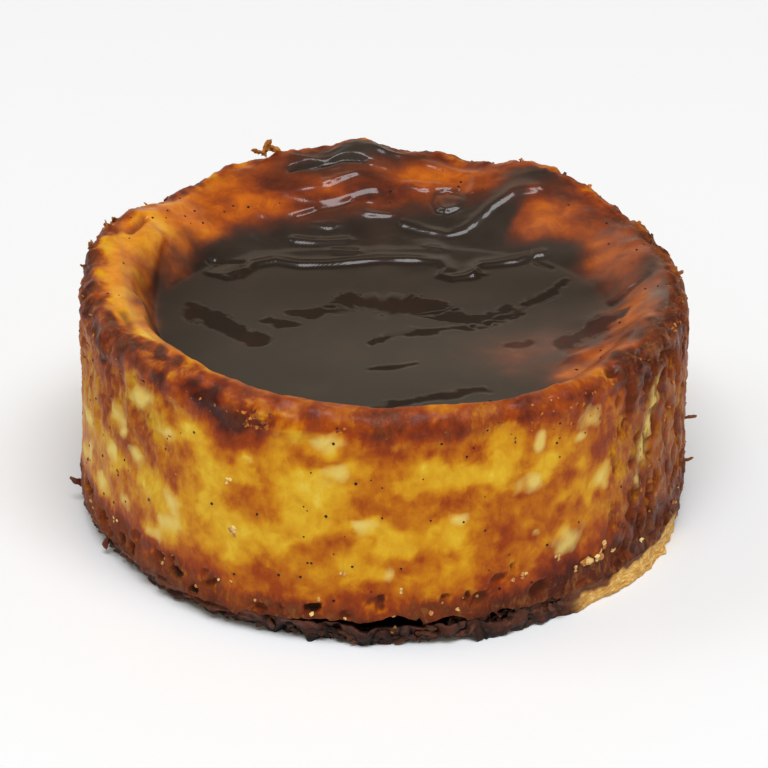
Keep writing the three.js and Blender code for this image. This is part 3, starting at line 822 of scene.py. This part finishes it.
# Painted sheen on the crest of the rim at the front.
painted_sheen = np.clip(painted_sheen + 0.08 * step_up(below_rim, 2.0, 0.6) * sector(-100, 55), 0, 1)
left, back = step_up(x, -12, -32), step_up(y, 10, 26)
top_brown = TOP_BROWN - 0.21 * left + back * (0.13 * (1 - left) + 0.03 * bell(x, 14))
top_brown = top_brown + 0.10 * step_up(y, 12, 24) + 0.12 * step_up(x, 24, 38) + 0.06 * step_up(radius, 40, 43)
top_brown = top_brown - patch_sum(PALE_PATCHES) + 0.15 * cloud(plain * [0.7, 1.5, 1.5], 6.0, 53, 4)
# Painted shade on the facet beside the edge on the left inner wall.
facet_shade = path_offset(x, y, SHADED_FACET)
facet_shade = bell(facet_shade, np.where(facet_shade > 0, 2.2, 0.4))
# Painted highlight along the crest of the lip at the front left.
lip = bell(path_offset(x, y, LIP_HIGHLIGHT), 1.5)
top_brown = top_brown + 0.17 * facet_shade - 0.16 * lip + 0.35 * skin
print(f"top browning is {top_brown[is_top[:, 0]].mean():.2f} on the mean")

# %% Over the rim
rim_row = np.flatnonzero(is_side)[-1]
past_crest = np.hypot(mean_radius - rim_radius, RIM_HEIGHT - mean_height)
way_out = np.where(is_top, mean_radius, rim_radius + past_crest)
crust_edge = 41.3 + sector(SHELF[0], 40) + 1.5 * cloud(plain, 2.6, 54, 3)
over_rim = step_up(way_out, crust_edge - 1.3, crust_edge + 1.6)


def carried(values):
    """Values of the side, with those of its last ring, at the crest, carried on over the top."""
    return np.where(is_top, values[rim_row], values)


brown = top_brown + over_rim * (carried(side_brown) - top_brown)
crumbly = 0.45 * rim_mask * step_up(cloud(plain, 3.5, 57, 3), -0.2, 0.4)
crust = np.maximum(np.maximum(right_crust, 0.6 * left_crust), foot_mask)
crust = np.maximum(carried(crust), crumbly) * over_rim
print(f"crust over {crust.mean():.0%} of the rings")

# %% Glaze, coat, and the painted shade of holes
VEIL_PATCH = (2, -12, 20, 13, 1.0)  # x, y, half width, half depth and amount of a heavier coat
glaze = step_up(way_out + 1.2 * cloud(plain, 3.0, 56, 3), 43.2, 39.5)
rim_moist = rim_mask * step_up(cloud(plain, 1.8, 58, 3), -0.1, 0.4) * (1 - 0.85 * sector(-85, 40))
damp = 0.36 * rim_moist + 0.3 * dry_crust * step_up(streaks, -0.1, 0.3)
veil = np.maximum(patch_sum([VEIL_PATCH]), step_up(y, 8, 14))
coat = np.clip((0.5 + 0.25 * veil) * glaze + (1 - glaze) * damp, 0, 1)
coat *= 1 - 0.45 * step_up(-x, 20, 32) * is_top
coat *= 1 - 0.45 * step_up(radius, 36, 41) * step_up(y, 15, 25)
# Painted shade in the holes: craters and cracks of the dry crust and the pits of the foot and rim are
# coloured dark, a deeper hole darker.
crater_shade = np.where(dry_crust > 0.3, 0.7 * (np.maximum(craters, 0.8 * cracks) - 0.5), NOWHERE)
# Painted shade: over each gap of the foot the custard's underside is coloured near black, as the deepest
# hole.
foot_gap_shade = np.where(is_under, bumps(FOOT_GAPS, bearing) * step_up(z, 7.0, 4.0) - 0.7, NOWHERE)
hole_shade = np.maximum(pit_field, crater_shade)
hole_shade_depth = np.where(crater_shade > pit_field, 0.45, np.clip(pit_depth / 1.1, 0, 1))
hole_shade_depth = np.where(foot_gap_shade > hole_shade, 1.0, hole_shade_depth)
hole_shade = np.maximum(hole_shade, foot_gap_shade)
print(f"glaze on {(glaze[is_top[:, 0]] > 0.5).mean():.0%} of the top rings")

# %% Custard mesh
middle = [0, 0, float(custard_surface[-1, :, 2].mean())]
fields = {"brown": brown, "cream": cream, "skin": skin, "painted_sheen": painted_sheen, "glaze": glaze, "coat": coat,
          "crust": crust, "hole_shade": hole_shade, "depth": hole_shade_depth}
custard = ring_mesh("custard_body", custard_surface, [0, 0, BASE_THICKNESS], middle, fields)
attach(custard, "root")
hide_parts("custard")

# %% [markdown]
# ## Baked custard as a material
# Baked custard is a moist gel: smooth, a little waxy, with light bleeding a millimetre or two into it. Sugar
# and milk brown on the outside, so the colour runs from cream through gold and orange to a brown near black.
# The sunken top is wet and mirror-smooth, the side is duller and the crust at the right is dry and grainy.
# One material makes them all, so that the finish runs on unbroken over the rim: the wet glaze is a clear coat
# whose weight fades out at the rim. Its patterns come first, in sizes of millimetres.

# %% Patterns: blotches 3 mm wide, curds of 2.3 mm and upright grit of 0.8 mm
custard_gel, tree = new_material("baked_custard")
place = put(tree, "TexCoord").outputs["Object"]
field = {key: put(tree, "Attribute", attribute_name=key).outputs["Fac"] for key in fields}
mottle = put(tree, "TexNoise", {"Vector": place, "Scale": 1 / (3.0 * MM), "Detail": 5.0, "Roughness": 0.68,
                                "Distortion": 0.5})
upright = put(tree, "Mapping", {"Vector": place, "Scale": (1.0, 1.0, 0.55)})
fine = put(tree, "TexNoise", {"Vector": upright, "Scale": 1 / (0.8 * MM), "Detail": 3.0, "Roughness": 0.6})
stain = put(tree, "Math", {0: mottle, 1: 0.42, 2: -0.21}, operation="MULTIPLY_ADD")
bend_by = {0: mottle.outputs["Color"], 1: (2.4 * MM,) * 3, 2: place}
bent = put(tree, "VectorMath", bend_by, operation="MULTIPLY_ADD")
curd = put(tree, "TexVoronoi", {"Vector": bent, "Scale": 1 / (2.3 * MM), "Smoothness": 0.5},
           feature="SMOOTH_F1")
curd = put(tree, "MapRange", {"Value": curd, "From Min": 0.15, "From Max": 0.75,
                              "To Min": -0.06, "To Max": 0.06})
patch = put(tree, "Math", {0: stain, 1: curd}, operation="ADD")
grit = put(tree, "Math", {0: fine, 1: -0.5}, operation="ADD")
coarse = put(tree, "Math", {0: field["crust"], 1: 1.2, 2: 0.16}, operation="MULTIPLY_ADD")
speckle = put(tree, "Math", {0: grit, 1: coarse, 2: patch}, operation="MULTIPLY_ADD")
print("patterns use", len(tree.nodes), "nodes")

# %% Colours: gold to brown on the side, orange to brown under the glaze, dull brown on the dry crust
tone = put(tree, "Math", {0: field["brown"], 1: speckle}, operation="ADD")
colour = put(tree, "ValToRGB", {"Fac": tone}, [
    (0.0, "#e2cc5a"), (1.0, "#3e140c"), (0.2, "#d9ad26"), (0.4, "#cc8e12"), (0.55, "#b86a0a"),
    (0.7, "#983f0a"), (0.85, "#722a10")])
moist = put(tree, "Math", {0: field["brown"], 1: stain}, operation="ADD")
wet = put(tree, "ValToRGB", {"Fac": moist}, [
    (0.0, "#f0c050"), (1.0, "#38140c"), (0.3, "#e0961e"), (0.5, "#c8680e"), (0.7, "#96420f"),
    (0.85, "#6a2a12")])
colour = put(tree, "Mix", {"Factor": field["glaze"], "A": colour, "B": wet}, data_type="RGBA")
dry = put(tree, "Math", {0: mottle, 1: 0.7, 2: speckle}, operation="MULTIPLY_ADD")
dry = put(tree, "ValToRGB", {"Fac": dry}, [
    (0.1, "#38160c"), (0.65, "#aa662c"), (0.28, "#5c2c18"), (0.45, "#7e4622")])
cover = put(tree, "Math", {0: field["crust"], 1: 0.5}, operation="MULTIPLY")
colour = put(tree, "Mix", {"Factor": cover, "A": colour, "B": dry}, data_type="RGBA")
print("with the colours", len(tree.nodes), "nodes")

# %% What lies over the colours: cream spots, the dark skin, the grey of painted sheen and, last, the painted shade of the holes
cut = put(tree, "Math", {0: field["cream"], 1: speckle}, operation="ADD")
cut = put(tree, "MapRange", {"Value": cut, "From Min": -0.45, "From Max": 0.75, "To Max": 0.85})
colour = put(tree, "Mix", {"Factor": cut, "A": colour, "B": shade("#dfc76e")}, data_type="RGBA")
burnt = put(tree, "ValToRGB", {"Fac": field["skin"]}, [
    (0.0, "#8a4418"), (1.0, "#21160f"), (0.4, "#5e2e16"), (0.7, "#42221a")])
over = put(tree, "Math", {0: stain, 1: 0.9, 2: field["skin"]}, operation="MULTIPLY_ADD")
over = put(tree, "MapRange", {"Value": over, "From Min": 0.0, "From Max": 0.9})
colour = put(tree, "Mix", {"Factor": over, "A": colour, "B": burnt}, data_type="RGBA")
# Painted sheen: grey mixed over the colour by its own field.
colour = put(tree, "Mix", {"Factor": field["painted_sheen"], "A": colour, "B": shade("#685f58")}, data_type="RGBA")
# Painted shade: the holes are coloured from dark red-brown to near black by their depth.
hole_shade_mix = put(tree, "Math", {0: grit, 1: 1.2, 2: field["hole_shade"]}, operation="MULTIPLY_ADD")
hole_shade_mix = put(tree, "MapRange", {"Value": hole_shade_mix, "From Min": -0.1, "From Max": 0.35, "To Max": 0.85})
inside = put(tree, "ValToRGB", {"Fac": field["depth"]}, [(0.3, "#7e3616"), (1.0, "#1a0a06")])
colour = put(tree, "Mix", {"Factor": hole_shade_mix, "A": colour, "B": inside}, data_type="RGBA")
print("with the covers", len(tree.nodes), "nodes")

# %% Finish: a waxy gel that light enters a little, a wet clear coat by its own field, and grit on the crust
FOOD_IOR = 1.45  # sugar, fat and water bend light about this much
rough = put(tree, "MapRange", {"Value": field["crust"], "To Min": 0.4, "To Max": 0.58})
strength = put(tree, "MapRange", {"Value": field["crust"], "To Min": 0.3, "To Max": 0.9})
strength = put(tree, "Math", {0: field["glaze"], 1: -0.28, 2: strength}, operation="MULTIPLY_ADD")
bump = put(tree, "Bump", {"Strength": strength, "Distance": 0.3 * MM, "Height": fine})
body = put(tree, "BsdfPrincipled", {
    "Base Color": colour, "Roughness": rough, "IOR": FOOD_IOR, "Specular IOR Level": 0.13, "Normal": bump,
    "Coat Weight": field["coat"], "Coat Roughness": 0.12, "Coat IOR": FOOD_IOR, "Coat Normal": bump,
    "Subsurface Weight": 0.1, "Subsurface Radius": (1.0, 0.5, 0.2), "Subsurface Scale": 2.0 * MM})
put(tree, "OutputMaterial", {"Surface": body})
custard.data.materials.append(custard_gel)
print(custard_gel.name, "uses", len(tree.nodes), "nodes")

# %% [markdown]
# ## The pastry base
# Under the custard is a disc of pastry about 3.6 mm thick. On the left and in front its edge has baked dark
# and broken into layers; on the right a stretch of it is whole and pale gold. Its edge is a stack of thin
# layers, so each layer gets its own ragged radius.

# %% Grid of the base
BASE_COLUMNS = 900
BASE_STEP = (-36, 34, 1.4)  # bearing and width in degrees of the whole edge, and how far it stands out
LAYER = 0.8  # mm, one flaky layer
BASE_TOP = BASE_THICKNESS - 0.05
base_bearing = np.linspace(-180, 180, BASE_COLUMNS, endpoint=False)[None, :]
edge_heights = np.linspace(0.0, BASE_TOP, 25)
inner_radii = np.array([20.0, 36.0, 40.0, 42.0])
base_radius = np.r_[inner_radii, 0 * edge_heights + BASE_RADIUS, inner_radii[::-1]][:, None]
base_height = np.r_[0 * inner_radii, edge_heights, 0 * inner_radii + BASE_TOP][:, None]
base_ring = circle(base_bearing, BASE_RADIUS)
whole = bell(turn(BASE_STEP[0], base_bearing), BASE_STEP[1])
torn_front = step_up(np.abs(turn(-86, base_bearing)), 36, 24)
print("base grid of", len(base_radius), "rings with", BASE_COLUMNS, "points each")


# %% Torn edge of the base
def base_cracks(points):
    """Thin cracks where a field of lumps passes through zero: a narrow bell curve of the field."""
    return bell(cloud(points * [1, 1, 0.55], 3.2, 64, 2), 0.08)


def base_rings():
    """The edge follows the custard's foot, flares to the table where it is whole and is undercut as a square
    of the depth elsewhere. It is ragged: for each layer its own lumps. Its lower lip lifts off the table in
    teeth, and under the gaps of the custard its top is torn to a ragged line, with a hollow behind it."""
    up, angle = base_height / BASE_TOP, np.radians(base_bearing)
    edge = step_up(base_radius, 40.0, BASE_RADIUS)
    level = np.floor(base_height / LAYER + 0.3 * np.sin(5 * angle) + 0.2 * np.sin(13 * angle))
    layer, flesh = (base_ring + height[..., None] * [0, 0, 1] for height in (7.3 * level, base_height))
    layered = 0.7 * cloud(layer, 4.5, 61, 3) + 0.5 * cloud(layer, 1.5, 63, 2)
    layered += 0.35 * cloud(flesh, 1.0, 68, 2)
    chunky = 1.2 * cloud(flesh * [1, 1, 0.7], 2.6, 69, 4) - base_cracks(flesh)
    torn = layered + torn_front * (chunky - layered) - 0.3
    torn = torn * (1 - 0.75 * whole) * (1 - 0.6 * up ** 3) + 0.3 * whole * cloud(flesh, 1.6, 72, 3)
    flare = BASE_STEP[2] * 0.6 * whole * (1 - up) - 1.1 * (1 - whole) * (1 - up) ** 2
    foot = side_radius(base_bearing, BASE_THICKNESS) - BASE_RADIUS - 0.2
    out = base_radius + edge * (foot + flare + torn)
    teeth = 0.5 + 0.6 * np.tanh(5 * lumps(base_ring, 2.8, 65)) + 0.4 * cloud(base_ring, 1.0, 66, 2)
    teeth = np.clip(teeth, 0, 1.6) * (1 - 0.8 * whole) * (1 - up) ** 2 * edge
    gap = step_up(bumps(FOOT_GAPS, base_bearing), 0.2, 0.9)
    crown = 0.9 + 0.7 * np.tanh(6 * lumps(base_ring, 3.2, 67)) + 0.5 * cloud(base_ring, 1.0, 70, 2)
    crown = gap * np.clip(crown, 0, 2.2) * edge * up
    hollow = 1.6 * gap * step_up(base_radius, 44.0, 41.5) * (base_radius > 30) * up
    height = np.clip(base_height + teeth, 0, BASE_TOP) - hollow - crown
    return np.stack([out * np.cos(angle), out * np.sin(angle), height], axis=-1)


base_surface = base_rings()
pale_top = 2.9 + 0.06 * turn(-35, base_bearing) + 0.5 * cloud(base_ring, 2.4, 71, 3)
pale = step_up(np.abs(turn(-34, base_bearing)), 20, 15) * step_up(base_height, pale_top + 0.2, pale_top - 0.4)
# Darker towards the table: partly soot of the burnt underside, partly painted shade where the disc meets the
# table.
soot_and_shade = 0.9 * step_up(base_surface[..., 2], 3.4, 0.4) * (1 - 0.8 * whole) + 0.15 * torn_front
# Painted shade: darker along the cracks of the torn front.
soot_and_shade = soot_and_shade - 0.35 * (1 - torn_front) + 0.9 * base_cracks(base_surface) * torn_front
# Painted shade: near black on the top of the disc, under the custard, where it shows through the gaps of the
# foot.
soot_and_shade = np.clip(soot_and_shade + 1.6 * step_up(base_radius, 44.0, 42.0), -0.5, 1.6)
base = ring_mesh("pastry_disc", base_surface, [0, 0, 0], [0, 0, BASE_TOP], {"pale": pale, "soot_and_shade": soot_and_shade})
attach(base, "root")
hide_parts("pastry_base")

# %% Baked pastry: dry brown crumb, soot and painted shade below, and a pale gold stretch with the long grain of rolled dough
pastry, tree = new_material("baked_pastry")
place = put(tree, "TexCoord").outputs["Object"]
field = {key: put(tree, "Attribute", attribute_name=key).outputs["Fac"] for key in ("pale", "soot_and_shade")}
crumb = put(tree, "TexNoise", {"Vector": place, "Scale": 1 / (1.3 * MM), "Detail": 5.0, "Roughness": 0.65})
burn_and_shade = put(tree, "Math", {0: field["soot_and_shade"], 1: -0.45, 2: crumb}, operation="MULTIPLY_ADD")
dark = put(tree, "ValToRGB", {"Fac": burn_and_shade}, [
    (0.0, "#0a0504"), (0.8, "#764428"), (0.25, "#33170d"), (0.5, "#5a2c18")])
rolled = put(tree, "Mapping", {"Vector": place, "Scale": (1.0, 1.0, 4.0)})
grain = put(tree, "TexNoise", {"Vector": rolled, "Scale": 1 / (1.1 * MM), "Detail": 5.0, "Roughness": 0.7})
golden = put(tree, "ValToRGB", {"Fac": grain}, [(0.3, "#9a6428"), (0.68, "#f0d490"), (0.5, "#d2a04c")])
colour = put(tree, "Mix", {"Factor": field["pale"], "A": dark, "B": golden}, data_type="RGBA")
bump = put(tree, "Bump", {"Strength": 0.6, "Distance": 0.3 * MM, "Height": crumb})
body = put(tree, "BsdfPrincipled", {"Base Color": colour, "Roughness": 0.55, "IOR": FOOD_IOR,
                                    "Specular IOR Level": 0.3, "Normal": bump})
put(tree, "OutputMaterial", {"Surface": body})
base.data.materials.append(pastry)
print(pastry.name, "uses", len(tree.nodes), "nodes")

# %% [markdown]
# ## Small things on the surface
# Vanilla seeds show as black dots in the custard. Pale crumbs cling to the foot, crumbs of crust to the rim
# and the sides, dark flakes hang from the base, and a few shreds of crust stand off the rim and the side.
# Each kind is one mesh: many copies of a blunt bead that is stretched, bent and roughened, so that no two are
# alike. One mesh for each kind keeps the list of objects short and lets one material tone every copy.


# %% Beads
def beads(name, centres, axes, halves, bend, rough, seed, rows, columns, tone=None):
    """Copies of a blunt bead: along its length t, from -1 to 1, its radius is the root of one less t to the
    fourth. Each is roughened by a random share of its radius, stretched to its three half sizes, bent along
    its length as a parabola, set on its own axes and pressed flat where it would go below the table."""
    draw = np.random.default_rng(seed)
    t = np.linspace(-1, 1, rows + 2)[1:-1, None]
    girth, way_round = np.sqrt(1 - t ** 4), np.linspace(0, 2 * np.pi, columns, endpoint=False)[None, :]
    ball = np.stack([t + 0 * way_round, girth * np.cos(way_round), girth * np.sin(way_round)], axis=-1)
    ball = np.vstack([[[-1, 0, 0]], ball.reshape(-1, 3), [[1, 0, 0]]])
    local = ball[None] * (1 + rough * draw.uniform(-1, 1, (len(centres), len(ball), 1))) * halves[:, None, :]
    local[..., 2] += bend[:, None] * local[..., 0] ** 2 / halves[:, :1]
    points = centres[:, None, :] + np.einsum("nvk,nkc->nvc", local, axes)
    points[..., 2] = np.maximum(points[..., 2], 0)
    shift = len(ball) * np.arange(len(centres))[:, None, None]
    quads, fans = (faces + shift for faces in ring_faces(rows, columns))
    tone = np.repeat(draw.random(len(centres)) if tone is None else tone, len(ball))
    piece = new_piece(name, points.reshape(-1, 3), quads.reshape(-1, 4), fans.reshape(-1, 3), {"tone": tone})
    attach(piece, "root")
    return piece


print("a small bead has", sum(map(len, ring_faces(3, 6))), "faces")


# %% How a bead lies, and what it is made of
def axes_on(normal, spin):
    """Three axes for each bead: two in the surface, turned by spin degrees from the level, and the normal."""
    level = np.cross([0.0, 0.02, 1.0], normal)
    level /= np.linalg.norm(level, axis=-1, keepdims=True)
    rise = np.cross(normal, level)
    c, s = np.cos(np.radians(spin))[:, None], np.sin(np.radians(spin))[:, None]
    return np.stack([c * level + s * rise, c * rise - s * level, normal], axis=1)


def toned(name, dark, light, roughness):
    """A dry material whose colour runs from dark to light with each copy's own tone and a noise of 0.7 mm."""
    material, tree = new_material(name)
    place = put(tree, "TexCoord").outputs["Object"]
    tone = put(tree, "Attribute", attribute_name="tone").outputs["Fac"]
    grain = put(tree, "TexNoise", {"Vector": place, "Scale": 1 / (0.7 * MM), "Detail": 3.0})
    mixed = put(tree, "Math", {0: grain, 1: 0.8, 2: -0.4}, operation="MULTIPLY_ADD")
    mixed = put(tree, "Math", {0: tone, 1: mixed}, operation="ADD")
    colour = put(tree, "ValToRGB", {"Fac": mixed}, [(0.0, dark), (1.0, light)])
    body = put(tree, "BsdfPrincipled", {"Base Color": colour, "Roughness": roughness, "IOR": FOOD_IOR,
                                        "Specular IOR Level": 0.3})
    put(tree, "OutputMaterial", {"Surface": body})
    return material


upright_axes = axes_on(np.array([[0.0, -1.0, 0.0]]), np.array([0.0]))
print("a bead on the front of the side lies along", np.round(upright_axes[0, 0], 2))

# %% Vanilla seeds: near black and dull, so they read as specks and not as glints
SEED_COUNT = 190
SEED_HALF = (0.11, 0.27)  # mm, smallest and largest half length
surface_normal = outward(custard_surface)
draw = np.random.default_rng(71)
on_side = is_side * (z > 7) * (below_rim > 2) * (1 - 0.8 * right_crust)
on_slope = is_top * (radius / FLAN_RADIUS) * (skin < 0.25) * inner
chance = (on_side + 0.8 * on_slope).ravel()
chosen = draw.choice(chance.size, SEED_COUNT, replace=False, p=chance / chance.sum())
half = SEED_HALF[0] + (SEED_HALF[1] - SEED_HALF[0]) * draw.random(SEED_COUNT) ** 0.8
spot, normal = (grid.reshape(-1, 3)[chosen] for grid in (custard_surface, surface_normal))
axes = axes_on(normal, draw.uniform(0, 180, SEED_COUNT))
seeds = beads("vanilla_seeds", spot, axes, half[:, None] * [1, 0.8, 0.5], 0 * half, 0.1, 72, 3, 6)
seeds.data.materials.append(toned("vanilla_seed_coat", "#0c0806", "#2a170e", 0.7))


# %% Pale crumbs: gold to cream, in clusters of grains, brighter than the foot they cling to
def side_points(at, height):
    """Places on the custard's side and their normals: the nearest row and column of the grid."""
    column = np.abs(turn(at[None, :], bearing.T)).argmin(axis=0)
    gap = np.abs(z[:, column] - height) + FAR * (radius[:, column] < CREST_RADIUS)
    rows = np.where(is_top, FAR, gap).argmin(axis=0)
    return custard_surface[rows, column], surface_normal[rows, column]


FAR = 99.0  # mm, more than any distance up the side
CRUMBS = [  # bearing, height, half length
    (-49.6, 7.2, 1.0), (-46.4, 7.4, 0.9), (-45.2, 8.8, 0.6), (-42.6, 7.0, 0.45), (-117.4, 16.2, 0.55),
    (-97, 12, 0.4), (-118, 24, 0.4), (-52, 7.0, 0.4), (-64, 9.2, 0.45), (-56.5, 10, 0.4),
    (-66, 8.8, 0.45), (-86.5, 9.5, 0.35),
]
CLUSTER = 4  # grains in one crumb
LOOSE = 50  # single crumbs all round the foot
LOOSE_SPANS = [(-180, 180), (4.5, 8), (0.25, 0.6)]  # bearing, height, half length
loose = np.stack([draw.uniform(*span, LOOSE) for span in LOOSE_SPANS], axis=1)
at, tall, half = np.vstack([np.repeat(CRUMBS, CLUSTER, axis=0), loose]).T
at += np.degrees(0.32 * half * draw.normal(0, 1, len(at)) / FLAN_RADIUS)
tall += 0.3 * half * draw.normal(0, 1, len(at))
spot, normal = side_points(at, tall)
axes = axes_on(normal, draw.uniform(0, 180, len(at)))
bend, tone = 0.2 * draw.uniform(-1, 1, len(at)), draw.uniform(0.1, 1.1, len(at))
halves = 0.7 * half[:, None] * [1, 0.75, 0.55]
crumbs = beads("pale_crumbs", spot, axes, halves, bend, 0.4, 73, 4, 7, tone)
crumbs.data.materials.append(toned("pale_crumb", "#a85e1a", "#e8cc84", 0.4))

# %% Crust crumbs: red-brown to tan, half sunk in, so that crust and rim look grainy at their edges
CRUST_CRUMBS = [  # bearings, heights, smallest and largest half length, count
    (-36, 24, 7, 34, 0.18, 0.42, 170), (150, 230, 8, 36, 0.15, 0.35, 90),
    (-116, -109.5, 33.0, 35.6, 0.22, 0.55, 22), (-66, -46, 29, 34.5, 0.14, 0.34, 26),
    (-180, 180, 33.5, 36, 0.12, 0.32, 170),
]
at, tall, half = (np.concatenate([draw.uniform(row[i], row[i + 1], row[6]) for row in CRUST_CRUMBS])
                  for i in (0, 2, 4))
spot, normal = side_points(at, np.minimum(tall, rim_height(at) - 0.6))
axes = axes_on(normal, draw.uniform(0, 180, len(at)))
bend, tone = 0.2 * draw.uniform(-1, 1, len(at)), draw.uniform(-0.1, 0.9, len(at))
spot -= 0.3 * half[:, None] * normal
grains = beads("crust_crumbs", spot, axes, half[:, None] * [1, 0.8, 0.6], bend, 0.5, 76, 3, 6, tone)
grains.data.materials.append(toned("crust_crumb", "#5e240e", "#cc7e30", 0.6))

# %% Crust flakes: thin, dark and dry, along the broken edge of the base
FLAKES = 220
CRAGS = 70  # larger flakes that stand out of the torn front
FLAKE_SPAN = (-195, -54)  # bearings with a dark, flaky edge
CRAG_SPAN = (-82, -56)
count = FLAKES + CRAGS
is_crag = np.arange(count) >= FLAKES
at = np.where(is_crag, draw.uniform(*CRAG_SPAN, count), draw.uniform(*FLAKE_SPAN, count))
normal = circle(at, 1.0) + draw.uniform(-0.5, 0.8, count)[:, None] * [0, 0, 1]
normal /= np.linalg.norm(normal, axis=1, keepdims=True)
out = BASE_RADIUS + draw.uniform(-1.0, 0.1, count) - step_up(np.abs(turn(-155, at)), 50, 30) + 0.5 * is_crag
tall = 0.7 + (2.8 - 1.6 * step_up(np.abs(turn(-85, at)), 30, 20) * ~is_crag) * draw.random(count)
half = draw.uniform(0.4, 1.4, count)
axes = axes_on(normal, draw.normal(0, 22 + 25 * is_crag, count))
halves = np.stack([half, draw.uniform(0.25, 0.65, count), 0 * half + 0.2], axis=1)
spot = circle(at, 1.0) * out[:, None] + tall[:, None] * [0, 0, 1]
flakes = beads("crust_flakes", spot, axes, halves, draw.uniform(-0.3, 0.3, count), 0.5, 74, 4, 7)
flakes.data.materials.append(toned("dark_crust_flake", "#1e0e09", "#5c3220", 0.55))

# %% Shreds: brown to tan threads and scraps that break the outline of the rim, the side and the foot
SHREDS = [  # bearing, radius, height, half length, half thickness, lean out, lean round, lean up, bend, tone
    (115, 43.2, 38.0, 1.4, 0.55, 0.2, -0.5, 0.9, 0.3, 0.6),
    (113, 43.2, 37.6, 1.3, 0.5, 0.2, 0.8, 0.5, 0.3, 0.8),
    (117, 43.2, 37.8, 0.9, 0.4, 0.2, 1.0, 0.4, 0.2, 0.5),
    (-5, 46.0, 14.1, 1.3, 0.28, 1.0, 0.3, 0.05, 0.3, 0.2),
    (-5, 45.8, 6.8, 0.9, 0.3, 1.0, 0.0, 0.3, 0.2, 0.2),
    (186, 45.6, 3.4, 1.6, 0.5, 0.9, 0.3, 0.6, -0.4, -0.1),
    (60, 43.4, 36.6, 0.6, 0.4, 0.4, 0.8, 0.6, 0.1, 0.8),
    (43, 43.6, 35.9, 0.55, 0.4, 0.5, 0.3, 0.9, 0.1, 0.9),
    (27, 43.7, 34.3, 0.6, 0.45, 0.6, 0.3, 0.8, 0.1, 0.9),
    (6, 44.2, 33.6, 0.8, 0.4, 0.9, 0.2, 0.5, 0.1, 0.5),
    (158, 43.4, 36.8, 0.9, 0.4, 0.4, 0.7, 0.6, 0.2, 0.3),
    (170, 43.8, 36.6, 0.8, 0.4, 0.6, 0.2, 0.8, 0.1, 0.2),
    (-88, 45.0, 2.6, 0.8, 0.3, 0.4, 0.5, 0.9, 0.2, 0.9),
    (206, 45.0, 2.0, 1.1, 0.6, 0.6, 0.6, -0.3, 0.2, -0.2),
]
RIM_BITS = 60  # small scraps round the back of the rim
# A scrap's last seven numbers, as in the table above, are drawn between these.
BIT_SPANS = [(0.25, 0.9), (0.14, 0.4), (0.2, 1), (-1, 1), (0, 1), (-0.3, 0.3), (-0.2, 0.9)]
bit_at = np.r_[draw.uniform(-8, 75, RIM_BITS // 2), draw.uniform(80, 200, RIM_BITS // 2)]
bit_shape = [draw.uniform(*span, RIM_BITS) for span in BIT_SPANS]
bit_height = rim_height(bit_at) - draw.uniform(0.9, 2.4, RIM_BITS)
bits = np.stack([bit_at, 0 * bit_at + 44.0, bit_height, *bit_shape], axis=1)
at, out, tall, half, thick, lean_out, lean_round, lean_up, bend, tone = np.vstack([SHREDS, bits]).T[..., None]
outer, round_way, upward = circle(at[:, 0], 1.0), circle(at[:, 0] + 90, 1.0), np.array([[0, 0, 1.0]])
along = lean_out * outer + lean_round * round_way + lean_up * upward
along /= np.linalg.norm(along, axis=1, keepdims=True)
wide = np.cross(along, outer + 0.3 * upward)
wide /= np.linalg.norm(wide, axis=1, keepdims=True)
axes = np.stack([along, wide, np.cross(along, wide)], axis=1)
halves = np.hstack([half, thick, 0.7 * thick])
shreds = beads("shreds", out * outer + tall * upward, axes, halves, bend[:, 0], 0.35, 75, 6, 6, tone[:, 0])
shreds.data.materials.append(toned("crust_shred", "#5a2812", "#c07a2c", 0.5))

# %% Finish
boxes = {"cad": [list(corner) for corner in CAD_BOX], "visual": [list(corner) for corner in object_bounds()]}
for key, box in boxes.items():
    print(key, "box measures", np.round(np.diff(box, axis=0)[0] / MM, 1), "mm")
